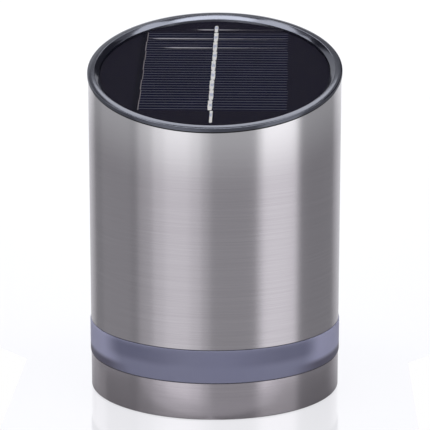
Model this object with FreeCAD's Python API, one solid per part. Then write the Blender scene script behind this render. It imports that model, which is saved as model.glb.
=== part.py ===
"""Solar wall light: a steel cylinder with a slanted solar top and a light ring low down.

Millimetres. +Z is up and the origin is the middle of the underside, on the axis of the cylinder.
The low side of the slanted top faces -Y, the front. The wall is at +Y, behind the wall bracket.
"""
import FreeCAD, Part
import math
import os

# Driving sizes of the visible body
TUBE_DIAMETER = 110.0
TUBE_WALL = 0.8
BAND_HEIGHT = 16.0
LIGHT_RING_HEIGHT = 15.0
LIGHT_RING_PROUD = 0.35
CUT_SLOPE_DEG = 16.0
CUT_AXIS_HEIGHT = 140.2

# Clearances shared by pieces that fit together
SPIGOT_CLEARANCE = 0.2
GUIDE_CLEARANCE = 0.3
HINGE_CLEARANCE = 0.07
SCREW_CLEARANCE = 0.2
HAIRLINE = 0.05
OVERRUN = 5.0
FULL_TURN_DEG = 360.0
QUARTER_TURN_DEG = 90.0
CROSS_WIDTH_SHARE = 1 / 3
CROSS_REACH_SHARE = 1 / 2

# Band and its rolled-in flange
FLANGE_THICKNESS = 0.8
FLANGE_WIDTH = 4.5
BAND_EDGE_ROUND = 0.6

# Light ring
LIGHT_RING_WALL = 3.3
LIGHT_RING_EDGE_ROUND = 0.4
SPIGOT_LENGTH = 2.0
SEAL_THICKNESS = 0.35
SEAL_RECESS = 0.25

# Bezel, heights counted straight up from the tube's cut
BEZEL_PROUD = 0.4
BEZEL_SEAL_THICKNESS = 0.7
BEZEL_LIP_THICKNESS = 1.8
BEZEL_EDGE_ROUND = 0.6
BEZEL_CROWN_WIDTH = 2.7
BEZEL_CROWN_DROP = 0.35
BEZEL_ROLL_WIDTH = 2.5
BEZEL_ROLL_DEPTH = 1.9
BEZEL_ROLL_BULGE = 0.08
BEZEL_SKIRT_WALL = 2.4
BEZEL_SKIRT_DEPTH = 10.0
BEZEL_FLOOR_THICKNESS = 2.0

# Solar panel
PANEL_CLEARANCE = 0.2
RESIN_THICKNESS = 0.5
BACKING_THICKNESS = 1.8
ADHESIVE_THICKNESS = 0.5
ADHESIVE_WIDTH = 8.0
SET_CELL_WIDTH = 63.0
SET_CELL_PITCH = 9.6
CELL_GAP = 0.25
CELL_THICKNESS = 0.35
CELL_COUNT = 8
SET_CELL_CENTRE_UP = 2.0
SET_CELL_SIDE_SHIFT = 0.35
CELL_SIDE_SHIFT_SHARES = (0.0, 0.7, -0.4, 0.9, -0.2, 0.5, -0.6, 0.3)
RIBBON_WIDTH = 2.0
RIBBON_THICKNESS = 0.2
SET_RIBBON_OFFSET = -0.7
RIBBON_GAP = 0.3
LEAD_WIDTH = 1.3
SET_LEAD_TOP_LENGTH = 6.0
SET_LEAD_LOW_LENGTH = 11.0
LEAD_GAP = 0.5
BLOB_RADIUS = 1.3

# Base housing
FLOOR_THICKNESS = 4.0
HOUSING_WALL = 1.6
SET_DRUM_RADIUS = 45.0
SET_REFLECTOR_ROOM = 10.0
DRUM_WALL = 2.0
DRUM_LEDGE_WIDTH = 2.0
DRUM_LEDGE_THICKNESS = 1.5
COVER_THICKNESS = 2.0
PILLAR_RADIUS = 3.5
SET_ROD_CIRCLE_RADIUS = 38.4
ROD_RADIUS = 1.5
ROD_HEAD_RADIUS = 2.75
ROD_HEAD_HEIGHT = 2.2
ROD_HEAD_DEPTH = 0.6
ROD_GRIP = 9.0
ROD_COUNT = 3
FIRST_ROD_DEG = 90.0
FIRST_COVER_SCREW_DEG = 30.0
BOSS_LENGTH = 13.0
SET_COVER_SCREW_CIRCLE_RADIUS = 41.0
COVER_SCREW_RADIUS = 1.25
COVER_SCREW_LENGTH = 9.0
COVER_SCREW_HEAD_RADIUS = 2.4
COVER_SCREW_HEAD_HEIGHT = 1.6
COVER_BOSS_RADIUS = 3.2
CABLE_HOLE_RADIUS = 4.0
SET_CABLE_HOLE_Y = 14.0

# Reflector, light strip and LEDs
REFLECTOR_WALL = 1.2
REFLECTOR_CLEARANCE = 0.3
STRIP_THICKNESS = 0.3
STRIP_HEIGHT = 7.0
LED_COUNT = 16
LED_LENGTH = 3.5
LED_HEIGHT = 2.8
LED_DEPTH = 1.4

# Battery compartment under the door
SET_CELL_DIAMETER = 10.5
SET_BATTERY_LENGTH = 44.5
BUTTON_RADIUS = 1.9
BUTTON_LENGTH = 0.8
BATTERY_GAP = 0.8
BATTERY_SIDE_GAP = 0.35
SET_BATTERY_ROOM_Y = -8.0
SPRING_LENGTH = 6.4
SPRING_WIRE_RADIUS = 0.35
SPRING_RADIUS = 2.9
SPRING_TURNS = 4
CONTACT_THICKNESS = 0.4
CONTACT_WIDTH = 9.0
CONTACT_HEIGHT = 9.0
BOX_WALL = 1.4

# Battery door, its seal, hinge and lock
DOOR_THICKNESS = 2.2
DOOR_MARGIN = 2.4
DOOR_CORNER_RADIUS = 2.5
DOOR_GAP = 0.3
DOOR_SEAL_THICKNESS = 0.6
DOOR_SEAL_WIDTH = 1.4
DOOR_SEAL_SQUEEZE_GAP = 0.1
DOOR_RIB_HEIGHT = 1.6
DOOR_RIB_WIDTH = 1.5
HINGE_REACH = 1.0
HINGE_HEIGHT = 1.6
KNUCKLE_RADIUS = 1.5
KNUCKLE_LENGTH = 8.0
SET_KNUCKLE_SPACING = 34.0
HINGE_PIN_RADIUS = 0.7
HINGE_PIN_GRIP = 2.5
LOCK_SETBACK = 2.6
LOCK_LOBE_RADIUS = 5.6
LOCK_HEAD_RADIUS = 4.0
LOCK_HEAD_HEIGHT = 1.5
LOCK_HEAD_RECESS = 0.3
LOCK_STEM_RADIUS = 2.2
LOCK_STEM_TOP = 6.4
LOCK_HOLE_CLEARANCE = 0.8
LOCK_COIN_SLOT_WIDTH = 1.4
LOCK_COIN_SLOT_DEPTH = 0.9
LOCK_COIN_SLOT_REACH = 3.0
LOCK_BOSS_HEIGHT = 4.5
LOCK_BOSS_WALL = 1.6
LOCK_BAR_RADIUS = 0.45

# Power switch
SET_SWITCH_Y = 20.0
SWITCH_TRAVEL = 3.0
SWITCH_KNOB_LENGTH = 3.0
SWITCH_KNOB_WIDTH = 2.4
SWITCH_KNOB_RECESS = 0.5
SWITCH_POCKET_DEPTH = 2.0
SWITCH_POCKET_MARGIN = 2.2
SWITCH_BODY_LENGTH = 13.0
SWITCH_BODY_WIDTH = 6.0
SWITCH_BODY_HEIGHT = 5.0
SWITCH_KNOB_ENGAGEMENT = 1.6

# Control board and its parts
SET_BOARD_LENGTH = 54.0
SET_BOARD_WIDTH = 38.0
BOARD_THICKNESS = 1.6
BOARD_HEIGHT = 20.0
SET_BOARD_Y = 4.0
BOARD_SCREW_INSET = 3.5
BOARD_SCREW_RADIUS = 1.25
BOARD_SCREW_LENGTH = 6.0
BOARD_SCREW_HEAD_RADIUS = 2.4
BOARD_SCREW_HEAD_HEIGHT = 1.5
STANDOFF_RADIUS = 2.8
CHIP_SIZE = 6.0
CHIP_HEIGHT = 1.6
CAPACITOR_RADIUS = 3.2
CAPACITOR_HEIGHT = 8.0
COIL_RADIUS = 4.0
COIL_HEIGHT = 4.5
SET_CHIP_X = -13.5
SET_COIL_X = 10.8
SET_CAPACITOR_Y = -5.5
CONNECTOR_LENGTH = 7.5
CONNECTOR_WIDTH = 5.0
CONNECTOR_HEIGHT = 5.5

# Wires
WIRE_RADIUS = 0.7
WIRE_SPACING = 2.0
WIRE_BEND_RADIUS = 5.0
GROMMET_RADIUS = 3.6
GROMMET_FLANGE = 1.4
GROMMET_FLANGE_THICKNESS = 1.0

# Rear mount block and wall bracket
MOUNT_BOTTOM = 60.0
MOUNT_HEIGHT = 42.0
MOUNT_WIDTH = 40.0
GASKET_THICKNESS = 0.8
MOUNT_SADDLE_DEPTH = 2.8
RAIL_THICKNESS = 2.0
RAIL_LIP_WIDTH = 3.0
HEAD_DEPTH = 3.0
PLATE_THICKNESS = 2.0
PLATE_HEIGHT = 84.0
PLATE_BOTTOM = 40.0
PLATE_CORNER_RADIUS = 4.0
WALL_HOLE_RADIUS = 2.25
WALL_HOLE_INSET = 7.0
TAB_WIDTH = 16.0
MOUNT_SCREW_SPACING = 22.0
MOUNT_SCREW_RADIUS = 1.9
MOUNT_SCREW_HEAD_RADIUS = 3.5
MOUNT_SCREW_HEAD_HEIGHT = 2.4
MOUNT_SCREW_GRIP = 6.0
LOCK_SCREW_RADIUS = 1.9
LOCK_SCREW_HEAD_RADIUS = 3.4
LOCK_SCREW_HEAD_HEIGHT = 2.6
LOCK_SCREW_GRIP = 6.0

# The inside is set out for a drum with room for the reflector round it, and follows the tube
INSIDE_SHARE = TUBE_DIAMETER / 2 / (SET_DRUM_RADIUS + SET_REFLECTOR_ROOM)
CELL_WIDTH = SET_CELL_WIDTH * INSIDE_SHARE
CELL_PITCH = SET_CELL_PITCH * INSIDE_SHARE
CELL_CENTRE_UP = SET_CELL_CENTRE_UP * INSIDE_SHARE
CELL_SIDE_SHIFT = SET_CELL_SIDE_SHIFT * INSIDE_SHARE
RIBBON_OFFSET = SET_RIBBON_OFFSET * INSIDE_SHARE
LEAD_TOP_LENGTH = SET_LEAD_TOP_LENGTH * INSIDE_SHARE
LEAD_LOW_LENGTH = SET_LEAD_LOW_LENGTH * INSIDE_SHARE
DRUM_RADIUS = SET_DRUM_RADIUS * INSIDE_SHARE
ROD_CIRCLE_RADIUS = SET_ROD_CIRCLE_RADIUS * INSIDE_SHARE
COVER_SCREW_CIRCLE_RADIUS = SET_COVER_SCREW_CIRCLE_RADIUS * INSIDE_SHARE
CABLE_HOLE_Y = SET_CABLE_HOLE_Y * INSIDE_SHARE
CELL_DIAMETER = SET_CELL_DIAMETER * INSIDE_SHARE
BATTERY_LENGTH = SET_BATTERY_LENGTH * INSIDE_SHARE
BATTERY_ROOM_Y = SET_BATTERY_ROOM_Y * INSIDE_SHARE
KNUCKLE_SPACING = SET_KNUCKLE_SPACING * INSIDE_SHARE
SWITCH_Y = SET_SWITCH_Y * INSIDE_SHARE
BOARD_LENGTH = SET_BOARD_LENGTH * INSIDE_SHARE
BOARD_WIDTH = SET_BOARD_WIDTH * INSIDE_SHARE
BOARD_Y = SET_BOARD_Y * INSIDE_SHARE
CHIP_X = SET_CHIP_X * INSIDE_SHARE
COIL_X = SET_COIL_X * INSIDE_SHARE
CAPACITOR_Y = SET_CAPACITOR_Y * INSIDE_SHARE

# Worked out from the sizes above
TUBE_RADIUS = TUBE_DIAMETER / 2
TUBE_INNER = TUBE_RADIUS - TUBE_WALL
SPIGOT_RADIUS = TUBE_INNER - SPIGOT_CLEARANCE
SLOPE = math.tan(math.radians(CUT_SLOPE_DEG))
SLOPE_COS = math.cos(math.radians(CUT_SLOPE_DEG))
TUBE_BOTTOM = BAND_HEIGHT + LIGHT_RING_HEIGHT
COVER_BOTTOM = TUBE_BOTTOM + SPIGOT_LENGTH
LIGHT_RING_INNER = TUBE_RADIUS - LIGHT_RING_WALL + LIGHT_RING_PROUD
LIP_BOTTOM = BEZEL_SEAL_THICKNESS
LIP_TOP = LIP_BOTTOM + BEZEL_LIP_THICKNESS
CROWN_LOW = LIP_TOP - BEZEL_CROWN_DROP
LIP_RADIUS = TUBE_RADIUS + BEZEL_PROUD
ROLL_RADIUS = LIP_RADIUS - BEZEL_CROWN_WIDTH
OPENING_RADIUS = ROLL_RADIUS - BEZEL_ROLL_WIDTH
PANEL_RADIUS = OPENING_RADIUS - PANEL_CLEARANCE
RESIN_TOP = LIP_TOP - BEZEL_ROLL_DEPTH - HAIRLINE
RESIN_BOTTOM = RESIN_TOP - RESIN_THICKNESS / SLOPE_COS
BACKING_BOTTOM = RESIN_BOTTOM - BACKING_THICKNESS / SLOPE_COS
BEZEL_FLOOR_TOP = BACKING_BOTTOM - ADHESIVE_THICKNESS / SLOPE_COS
BEZEL_FLOOR_BOTTOM = BEZEL_FLOOR_TOP - BEZEL_FLOOR_THICKNESS / SLOPE_COS
BATTERY_RADIUS = CELL_DIAMETER / 2
ROOM_HALF_LENGTH = (BATTERY_LENGTH + SPRING_LENGTH) / 2 + CONTACT_THICKNESS
ROOM_WIDTH = 2 * CELL_DIAMETER + BATTERY_GAP + 2 * BATTERY_SIDE_GAP
ROOM_FRONT_Y = BATTERY_ROOM_Y - ROOM_WIDTH
DOOR_LEDGE = DOOR_THICKNESS + DOOR_SEAL_THICKNESS + DOOR_SEAL_SQUEEZE_GAP
BATTERY_AXIS_Z = DOOR_THICKNESS + DOOR_RIB_HEIGHT + HAIRLINE + BATTERY_RADIUS
BOX_TOP = BATTERY_AXIS_Z + BATTERY_RADIUS + BATTERY_SIDE_GAP
DOOR_HALF_LENGTH = ROOM_HALF_LENGTH + DOOR_MARGIN
DOOR_REAR_Y = BATTERY_ROOM_Y + DOOR_MARGIN
DOOR_FRONT_Y = ROOM_FRONT_Y - DOOR_MARGIN
HINGE_SETBACK = HINGE_HEIGHT + HINGE_REACH
HINGE_Y = DOOR_REAR_Y + HINGE_SETBACK
DOOR_SWING_GAP = HINGE_SETBACK - math.sqrt(HINGE_SETBACK ** 2 - HINGE_HEIGHT ** 2) + DOOR_GAP
LOCK_Y = DOOR_FRONT_Y - LOCK_SETBACK
BOARD_TOP = BOARD_HEIGHT + BOARD_THICKNESS
MOUNT_FACE_Y = TUBE_RADIUS + GASKET_THICKNESS
NECK_Y = MOUNT_FACE_Y + MOUNT_SADDLE_DEPTH
LIP_FRONT_Y = NECK_Y + GUIDE_CLEARANCE
LIP_REAR_Y = LIP_FRONT_Y + RAIL_THICKNESS
HEAD_FRONT_Y = LIP_REAR_Y + GUIDE_CLEARANCE
HEAD_REAR_Y = HEAD_FRONT_Y + HEAD_DEPTH
PLATE_FRONT_Y = HEAD_REAR_Y + GUIDE_CLEARANCE
WALL_Y = PLATE_FRONT_Y + PLATE_THICKNESS
RAIL_OUTER = MOUNT_WIDTH / 2
RAIL_INNER = RAIL_OUTER - RAIL_THICKNESS
LIP_INNER = RAIL_INNER - RAIL_LIP_WIDTH
TAB_TOP = MOUNT_BOTTOM - GUIDE_CLEARANCE
LOCK_SCREW_Y = (HEAD_FRONT_Y + NECK_Y) / 2


def vec(x, y, z):
    return FreeCAD.Vector(x, y, z)


def post(radius, low, high, x=0, y=0):
    return Part.makeCylinder(radius, high - low, vec(x, y, low))


def ring(outer, inner, low, high, x=0, y=0):
    return post(outer, low, high, x, y).cut(post(inner, low - OVERRUN, high + OVERRUN, x, y))


def rod_along(axis, radius, length, start):
    return Part.makeCylinder(radius, length, start, axis)


def block(x0, x1, y0, y1, z0, z1):
    return Part.makeBox(x1 - x0, y1 - y0, z1 - z0, vec(x0, y0, z0))


def mid_block(half_x, y0, y1, z0, z1):
    return block(-half_x, half_x, y0, y1, z0, z1)


def plate(half_x, y0, y1, z0, z1, corner):
    """A flat block with rounded upright edges."""
    solid = mid_block(half_x, y0, y1, z0, z1)
    upright = [e for e in solid.Edges if abs(e.tangentAt(e.FirstParameter).z) > SLOPE_COS]
    return solid.makeFillet(corner, upright)


def turned(points, arc_middles=None):
    """Revolve a closed outline of (radius, height) about the axis.

    arc_middles gives a side of the outline, by its number, the (radius, height) that it bends through.
    """
    arc_middles = arc_middles or {}
    edges = []
    for side, (start, end) in enumerate(zip(points, points[1:] + points[:1])):
        start, end = vec(start[0], 0, start[1]), vec(end[0], 0, end[1])
        if side in arc_middles:
            radius, height = arc_middles[side]
            edges.append(Part.Arc(start, vec(radius, 0, height), end).toShape())
        else:
            edges.append(Part.LineSegment(start, end).toShape())
    face = Part.Face(Part.Wire(edges))
    return face.revolve(vec(0, 0, 0), vec(0, 0, 1), FULL_TURN_DEG)


def around(count, radius, first_deg):
    """Places on a circle as (x, y)."""
    for step in range(count):
        angle = math.radians(first_deg + FULL_TURN_DEG * step / count)
        yield radius * math.cos(angle), radius * math.sin(angle)


def rod_places():
    return around(ROD_COUNT, ROD_CIRCLE_RADIUS, FIRST_ROD_DEG)


def cover_screw_places():
    return around(ROD_COUNT, COVER_SCREW_CIRCLE_RADIUS, FIRST_COVER_SCREW_DEG)


def slanted(shape):
    """Shear a level piece so that it follows the tube's cut, heights counted from the cut."""
    matrix = FreeCAD.Matrix()
    matrix.A32 = SLOPE
    matrix.A34 = CUT_AXIS_HEIGHT
    return shape.transformGeometry(matrix)


def on_panel(shape):
    """Turn a piece drawn flat on the resin's underside into the panel's plane."""
    shape = shape.copy()
    shape.rotate(vec(0, 0, 0), vec(1, 0, 0), CUT_SLOPE_DEG)
    shape.translate(vec(0, 0, CUT_AXIS_HEIGHT + RESIN_BOTTOM))
    return shape


def all_above_cut(height):
    """A big block that takes off everything higher than this above the cut."""
    reach = 2 * TUBE_DIAMETER
    lid = Part.makeBox(reach, reach, reach, vec(-reach / 2, -reach / 2, 0))
    lid.rotate(vec(0, 0, 0), vec(1, 0, 0), CUT_SLOPE_DEG)
    lid.translate(vec(0, 0, CUT_AXIS_HEIGHT + height))
    return lid


def below_slope(height, low, radius, x, y):
    """An upright post whose top follows the slope at a height above the cut."""
    top = CUT_AXIS_HEIGHT + SLOPE * y + height
    return post(radius, low, top + OVERRUN, x, y).cut(all_above_cut(height))


def joined(shapes):
    first, *rest = shapes
    return first.fuse(rest).removeSplitter() if rest else first


def group(shapes):
    return Part.makeCompound(list(shapes))


def main_tube():
    tube = ring(TUBE_RADIUS, TUBE_INNER, TUBE_BOTTOM, CUT_AXIS_HEIGHT + TUBE_RADIUS)
    tube = tube.cut(all_above_cut(0))
    for z in mount_screw_heights():
        hole = MOUNT_SCREW_RADIUS + SCREW_CLEARANCE
        tube = tube.cut(rod_along(vec(0, 1, 0), hole, TUBE_RADIUS + OVERRUN, vec(0, 0, z)))
    return tube


def base_band():
    wall = ring(TUBE_RADIUS, TUBE_INNER, 0, BAND_HEIGHT)
    flange = ring(TUBE_RADIUS, TUBE_RADIUS - FLANGE_WIDTH, 0, FLANGE_THICKNESS)
    band = joined([wall, flange])
    outer_edge = [e for e in band.Edges
                  if e.BoundBox.ZMax < HAIRLINE and e.BoundBox.XMax > TUBE_INNER]
    return band.makeFillet(BAND_EDGE_ROUND, outer_edge)


def light_ring():
    outer = TUBE_RADIUS + LIGHT_RING_PROUD
    low, high = BAND_HEIGHT + SEAL_THICKNESS, TUBE_BOTTOM - SEAL_THICKNESS
    body = post(outer, low, high)
    rims = [e for e in body.Edges if e.BoundBox.ZLength < HAIRLINE]
    body = body.makeFillet(LIGHT_RING_EDGE_ROUND, rims)
    spigots = post(SPIGOT_RADIUS, BAND_HEIGHT - SPIGOT_LENGTH, TUBE_BOTTOM + SPIGOT_LENGTH)
    bore = post(LIGHT_RING_INNER, -OVERRUN, COVER_BOTTOM + OVERRUN)
    return joined([body, spigots]).cut(bore)


def ring_seal(low):
    return ring(TUBE_RADIUS - SEAL_RECESS, SPIGOT_RADIUS, low, low + SEAL_THICKNESS)


def bezel_boss_bottom():
    """All bosses end at one height, set by the lowest one."""
    return CUT_AXIS_HEIGHT - SLOPE * ROD_CIRCLE_RADIUS + BEZEL_FLOOR_BOTTOM - BOSS_LENGTH


def bezel_body():
    """Crowned lip, roll down to the panel, floor and skirt in one turned outline."""
    skirt_inner = SPIGOT_RADIUS - BEZEL_SKIRT_WALL
    outline = [
        (LIP_RADIUS, LIP_BOTTOM),
        (LIP_RADIUS, CROWN_LOW - BEZEL_EDGE_ROUND),
        (LIP_RADIUS - BEZEL_EDGE_ROUND, CROWN_LOW),
        (ROLL_RADIUS, LIP_TOP),
        (OPENING_RADIUS, LIP_TOP - BEZEL_ROLL_DEPTH),
        (OPENING_RADIUS, BEZEL_FLOOR_TOP),
        (0, BEZEL_FLOOR_TOP),
        (0, BEZEL_FLOOR_BOTTOM),
        (skirt_inner, BEZEL_FLOOR_BOTTOM),
        (skirt_inner, -BEZEL_SKIRT_DEPTH),
        (SPIGOT_RADIUS, -BEZEL_SKIRT_DEPTH),
        (SPIGOT_RADIUS, LIP_BOTTOM)]
    edge_sag = BEZEL_EDGE_ROUND * (1 - math.sqrt(1 / 2))
    edge_middle = (LIP_RADIUS - edge_sag, CROWN_LOW - edge_sag)
    crown_middle = ((LIP_RADIUS - BEZEL_EDGE_ROUND + ROLL_RADIUS) / 2, LIP_TOP - BEZEL_CROWN_DROP / 4)
    chord = math.hypot(BEZEL_ROLL_WIDTH, BEZEL_ROLL_DEPTH)
    roll_middle = (ROLL_RADIUS - BEZEL_ROLL_WIDTH / 2 - BEZEL_ROLL_BULGE * BEZEL_ROLL_DEPTH / chord,
                   LIP_TOP - BEZEL_ROLL_DEPTH / 2 + BEZEL_ROLL_BULGE * BEZEL_ROLL_WIDTH / chord)
    edge_side, crown_side, roll_side = 1, 2, 3
    return slanted(turned(outline, {edge_side: edge_middle, crown_side: crown_middle,
                                    roll_side: roll_middle}))


def top_bezel():
    bezel = bezel_body()
    floor_middle = (BEZEL_FLOOR_TOP + BEZEL_FLOOR_BOTTOM) / 2
    boss_low = bezel_boss_bottom()
    for x, y in rod_places():
        bezel = bezel.fuse(below_slope(floor_middle, boss_low, PILLAR_RADIUS, x, y))
    for x, y in rod_places():
        bezel = bezel.cut(post(ROD_RADIUS, boss_low - OVERRUN, boss_low + ROD_GRIP, x, y))
    top = CUT_AXIS_HEIGHT + TUBE_RADIUS
    return bezel.cut(post(GROMMET_RADIUS, CUT_AXIS_HEIGHT - TUBE_RADIUS, top, 0, CABLE_HOLE_Y))


def bezel_seal():
    return slanted(ring(TUBE_RADIUS - SEAL_RECESS, SPIGOT_RADIUS + HAIRLINE, 0, LIP_BOTTOM))


def cell_strips():
    """Cell strips drawn flat, from the lowest up, each set a little to one side."""
    first = CELL_CENTRE_UP - CELL_COUNT * CELL_PITCH / 2
    for index in range(CELL_COUNT):
        low = first + index * CELL_PITCH + CELL_GAP / 2
        shift = CELL_SIDE_SHIFT * CELL_SIDE_SHIFT_SHARES[index % len(CELL_SIDE_SHIFT_SHARES)]
        yield low, low + CELL_PITCH - CELL_GAP, shift


def solar_cells():
    half = CELL_WIDTH / 2
    strips = [block(shift - half, shift + half, low, high, -CELL_THICKNESS, 0)
              for low, high, shift in cell_strips()]
    return on_panel(group(strips))


def ribbon(width, low, high):
    """A flat strip up the middle of the panel, drawn flat."""
    side = width / 2
    return block(RIBBON_OFFSET - side, RIBBON_OFFSET + side, low, high, 0, RIBBON_THICKNESS)


def cell_ribbons():
    pieces = [ribbon(RIBBON_WIDTH, low + RIBBON_GAP / 2, high - RIBBON_GAP / 2)
              for low, high, _ in cell_strips()]
    return on_panel(group(pieces))


def lead_ribbons():
    strips = list(cell_strips())
    top_start = strips[-1][1] + LEAD_GAP
    low_end = strips[0][0] - LEAD_GAP
    top_end = top_start + LEAD_TOP_LENGTH
    blob = post(BLOB_RADIUS, 0, RIBBON_THICKNESS, RIBBON_OFFSET, top_end)
    top = joined([ribbon(LEAD_WIDTH, top_start, top_end), blob])
    return on_panel(group([top, ribbon(LEAD_WIDTH, low_end - LEAD_LOW_LENGTH, low_end)]))


def panel_disc(low, high):
    """A disc in the bezel's opening between two heights above the cut."""
    return slanted(post(PANEL_RADIUS, low, high))


def panel_resin():
    return panel_disc(RESIN_BOTTOM, RESIN_TOP).cut([cell_ribbons(), lead_ribbons()])


def panel_backing():
    return panel_disc(BACKING_BOTTOM, RESIN_BOTTOM).cut(solar_cells()).cut(grommet_room())


def grommet_room():
    top = CUT_AXIS_HEIGHT + SLOPE * CABLE_HOLE_Y + BACKING_BOTTOM + BACKING_THICKNESS / 2
    return post(GROMMET_RADIUS, top - TUBE_RADIUS, top, 0, CABLE_HOLE_Y)


def panel_adhesive():
    return slanted(ring(PANEL_RADIUS, PANEL_RADIUS - ADHESIVE_WIDTH, BEZEL_FLOOR_TOP, BACKING_BOTTOM))


def wire_pair_x():
    return (-WIRE_SPACING / 2, WIRE_SPACING / 2)


def wire_grommet():
    flange_radius = GROMMET_RADIUS + GROMMET_FLANGE
    plug_top = CUT_AXIS_HEIGHT + SLOPE * (CABLE_HOLE_Y - GROMMET_RADIUS) + BEZEL_FLOOR_TOP
    high = CUT_AXIS_HEIGHT + SLOPE * (CABLE_HOLE_Y - flange_radius) + BEZEL_FLOOR_BOTTOM
    low = high - GROMMET_FLANGE_THICKNESS
    grommet = joined([post(flange_radius, low, high, 0, CABLE_HOLE_Y),
                      post(GROMMET_RADIUS, low, plug_top, 0, CABLE_HOLE_Y)])
    for x in wire_pair_x():
        hole = post(WIRE_RADIUS + HAIRLINE, low - OVERRUN, plug_top + OVERRUN, x, CABLE_HOLE_Y)
        grommet = grommet.cut(hole)
    return grommet


def door_shape(grow, low, high):
    """The door's outline, its lock lobe included, grown on all sides."""
    body = plate(DOOR_HALF_LENGTH + grow, DOOR_FRONT_Y - grow, DOOR_REAR_Y + grow, low, high,
                 DOOR_CORNER_RADIUS + grow)
    return joined([body, post(LOCK_LOBE_RADIUS + grow, low, high, 0, LOCK_Y)])


def knuckle_places():
    return (-KNUCKLE_SPACING / 2, KNUCKLE_SPACING / 2)


def along_hinge(radius, length, x):
    return rod_along(vec(1, 0, 0), radius, length, vec(x - length / 2, HINGE_Y, HINGE_HEIGHT))


def base_housing():
    low_disc = post(TUBE_RADIUS - FLANGE_WIDTH - SPIGOT_CLEARANCE, 0, FLOOR_THICKNESS)
    disc = post(SPIGOT_RADIUS, FLANGE_THICKNESS + HAIRLINE, FLOOR_THICKNESS)
    wall = ring(SPIGOT_RADIUS, SPIGOT_RADIUS - HOUSING_WALL, 0, BAND_HEIGHT - SPIGOT_LENGTH)
    wall = wall.cut(post(SPIGOT_RADIUS + OVERRUN, -OVERRUN, FLOOR_THICKNESS - HAIRLINE))
    drum = ring(DRUM_RADIUS, DRUM_RADIUS - DRUM_WALL, 0, COVER_BOTTOM)
    ledge_top = BAND_HEIGHT - SPIGOT_LENGTH
    ledge = ring(DRUM_RADIUS + DRUM_LEDGE_WIDTH, DRUM_RADIUS,
                 ledge_top - DRUM_LEDGE_THICKNESS, ledge_top)
    box = mid_block(ROOM_HALF_LENGTH + BOX_WALL, ROOM_FRONT_Y - BOX_WALL, BATTERY_ROOM_Y + BOX_WALL,
                    FLANGE_THICKNESS, BOX_TOP + BOX_WALL)
    lock_boss = post(LOCK_STEM_RADIUS + LOCK_HOLE_CLEARANCE + LOCK_BOSS_WALL, FLANGE_THICKNESS,
                     FLOOR_THICKNESS + LOCK_BOSS_HEIGHT, 0, LOCK_Y)
    solids = [low_disc, disc, wall, drum, ledge, box, lock_boss]
    for x, y in rod_places():
        solids.append(post(PILLAR_RADIUS, FLANGE_THICKNESS, COVER_BOTTOM, x, y))
    for x, y in cover_screw_places():
        boss_low = COVER_BOTTOM - COVER_SCREW_LENGTH - DRUM_LEDGE_THICKNESS
        solids.append(post(COVER_BOSS_RADIUS, boss_low, COVER_BOTTOM, x, y))
    for x, y in board_corners():
        foot = BOX_TOP if on_box(y) else FLANGE_THICKNESS
        solids.append(post(STANDOFF_RADIUS, foot, BOARD_HEIGHT, x, y))
    housing = joined(solids)
    return housing.cut(housing_hollows())


def on_box(y):
    return y < BATTERY_ROOM_Y


def housing_hollows():
    """All that is cut out of the base housing."""
    cuts = [door_shape(DOOR_GAP, -OVERRUN, DOOR_LEDGE)]
    cuts.append(mid_block(DOOR_HALF_LENGTH + DOOR_GAP, DOOR_REAR_Y - DOOR_GAP,
                          DOOR_REAR_Y + DOOR_SWING_GAP, -OVERRUN, DOOR_LEDGE))
    cuts.append(mid_block(ROOM_HALF_LENGTH, ROOM_FRONT_Y, BATTERY_ROOM_Y, -OVERRUN, BOX_TOP))
    room = KNUCKLE_RADIUS + DOOR_GAP
    for x in knuckle_places():
        half = KNUCKLE_LENGTH / 2 + DOOR_GAP
        cuts.append(block(x - half, x + half, HINGE_Y - room, HINGE_Y + room,
                          -OVERRUN, HINGE_HEIGHT + room))
        cuts.append(along_hinge(HINGE_PIN_RADIUS, KNUCKLE_LENGTH + 2 * HINGE_PIN_GRIP, x))
    lock_bar_z = LOCK_STEM_TOP + LOCK_BAR_RADIUS + HAIRLINE
    lock_hole = LOCK_STEM_RADIUS + LOCK_HOLE_CLEARANCE
    cuts.append(post(lock_hole, 0, lock_bar_z + LOCK_BAR_RADIUS, 0, LOCK_Y))
    cuts.append(lock_bar(HAIRLINE))
    cuts.append(switch_room())
    return cuts + housing_screw_holes() + led_wire_runs(HAIRLINE)


def housing_screw_holes():
    over = COVER_BOTTOM + OVERRUN
    head_room = ROD_HEAD_RADIUS + SCREW_CLEARANCE
    cuts = []
    for x, y in rod_places():
        cuts.append(post(ROD_RADIUS + SCREW_CLEARANCE, -OVERRUN, over, x, y))
        cuts.append(post(head_room, -OVERRUN, ROD_HEAD_DEPTH + ROD_HEAD_HEIGHT, x, y))
    for x, y in cover_screw_places():
        cuts.append(post(COVER_SCREW_RADIUS, COVER_BOTTOM - COVER_SCREW_LENGTH, over, x, y))
    for x, y in board_corners():
        low = BOARD_TOP - BOARD_SCREW_LENGTH
        cuts.append(post(BOARD_SCREW_RADIUS, low, BOARD_HEIGHT + OVERRUN, x, y))
    return cuts


def board_corners():
    half_x = BOARD_LENGTH / 2 - BOARD_SCREW_INSET
    half_y = BOARD_WIDTH / 2 - BOARD_SCREW_INSET
    return [(sx * half_x, BOARD_Y + sy * half_y) for sx in (-1, 1) for sy in (-1, 1)]


def housing_cover():
    cover = post(SPIGOT_RADIUS, COVER_BOTTOM, COVER_BOTTOM + COVER_THICKNESS)
    cover = cover.cut(post(CABLE_HOLE_RADIUS, 0, CUT_AXIS_HEIGHT, 0, CABLE_HOLE_Y))
    for x, y in rod_places():
        cover = cover.cut(post(ROD_RADIUS + SCREW_CLEARANCE, 0, CUT_AXIS_HEIGHT, x, y))
    for x, y in cover_screw_places():
        cover = cover.cut(post(COVER_SCREW_RADIUS + SCREW_CLEARANCE, 0, CUT_AXIS_HEIGHT, x, y))
    return cover


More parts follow.
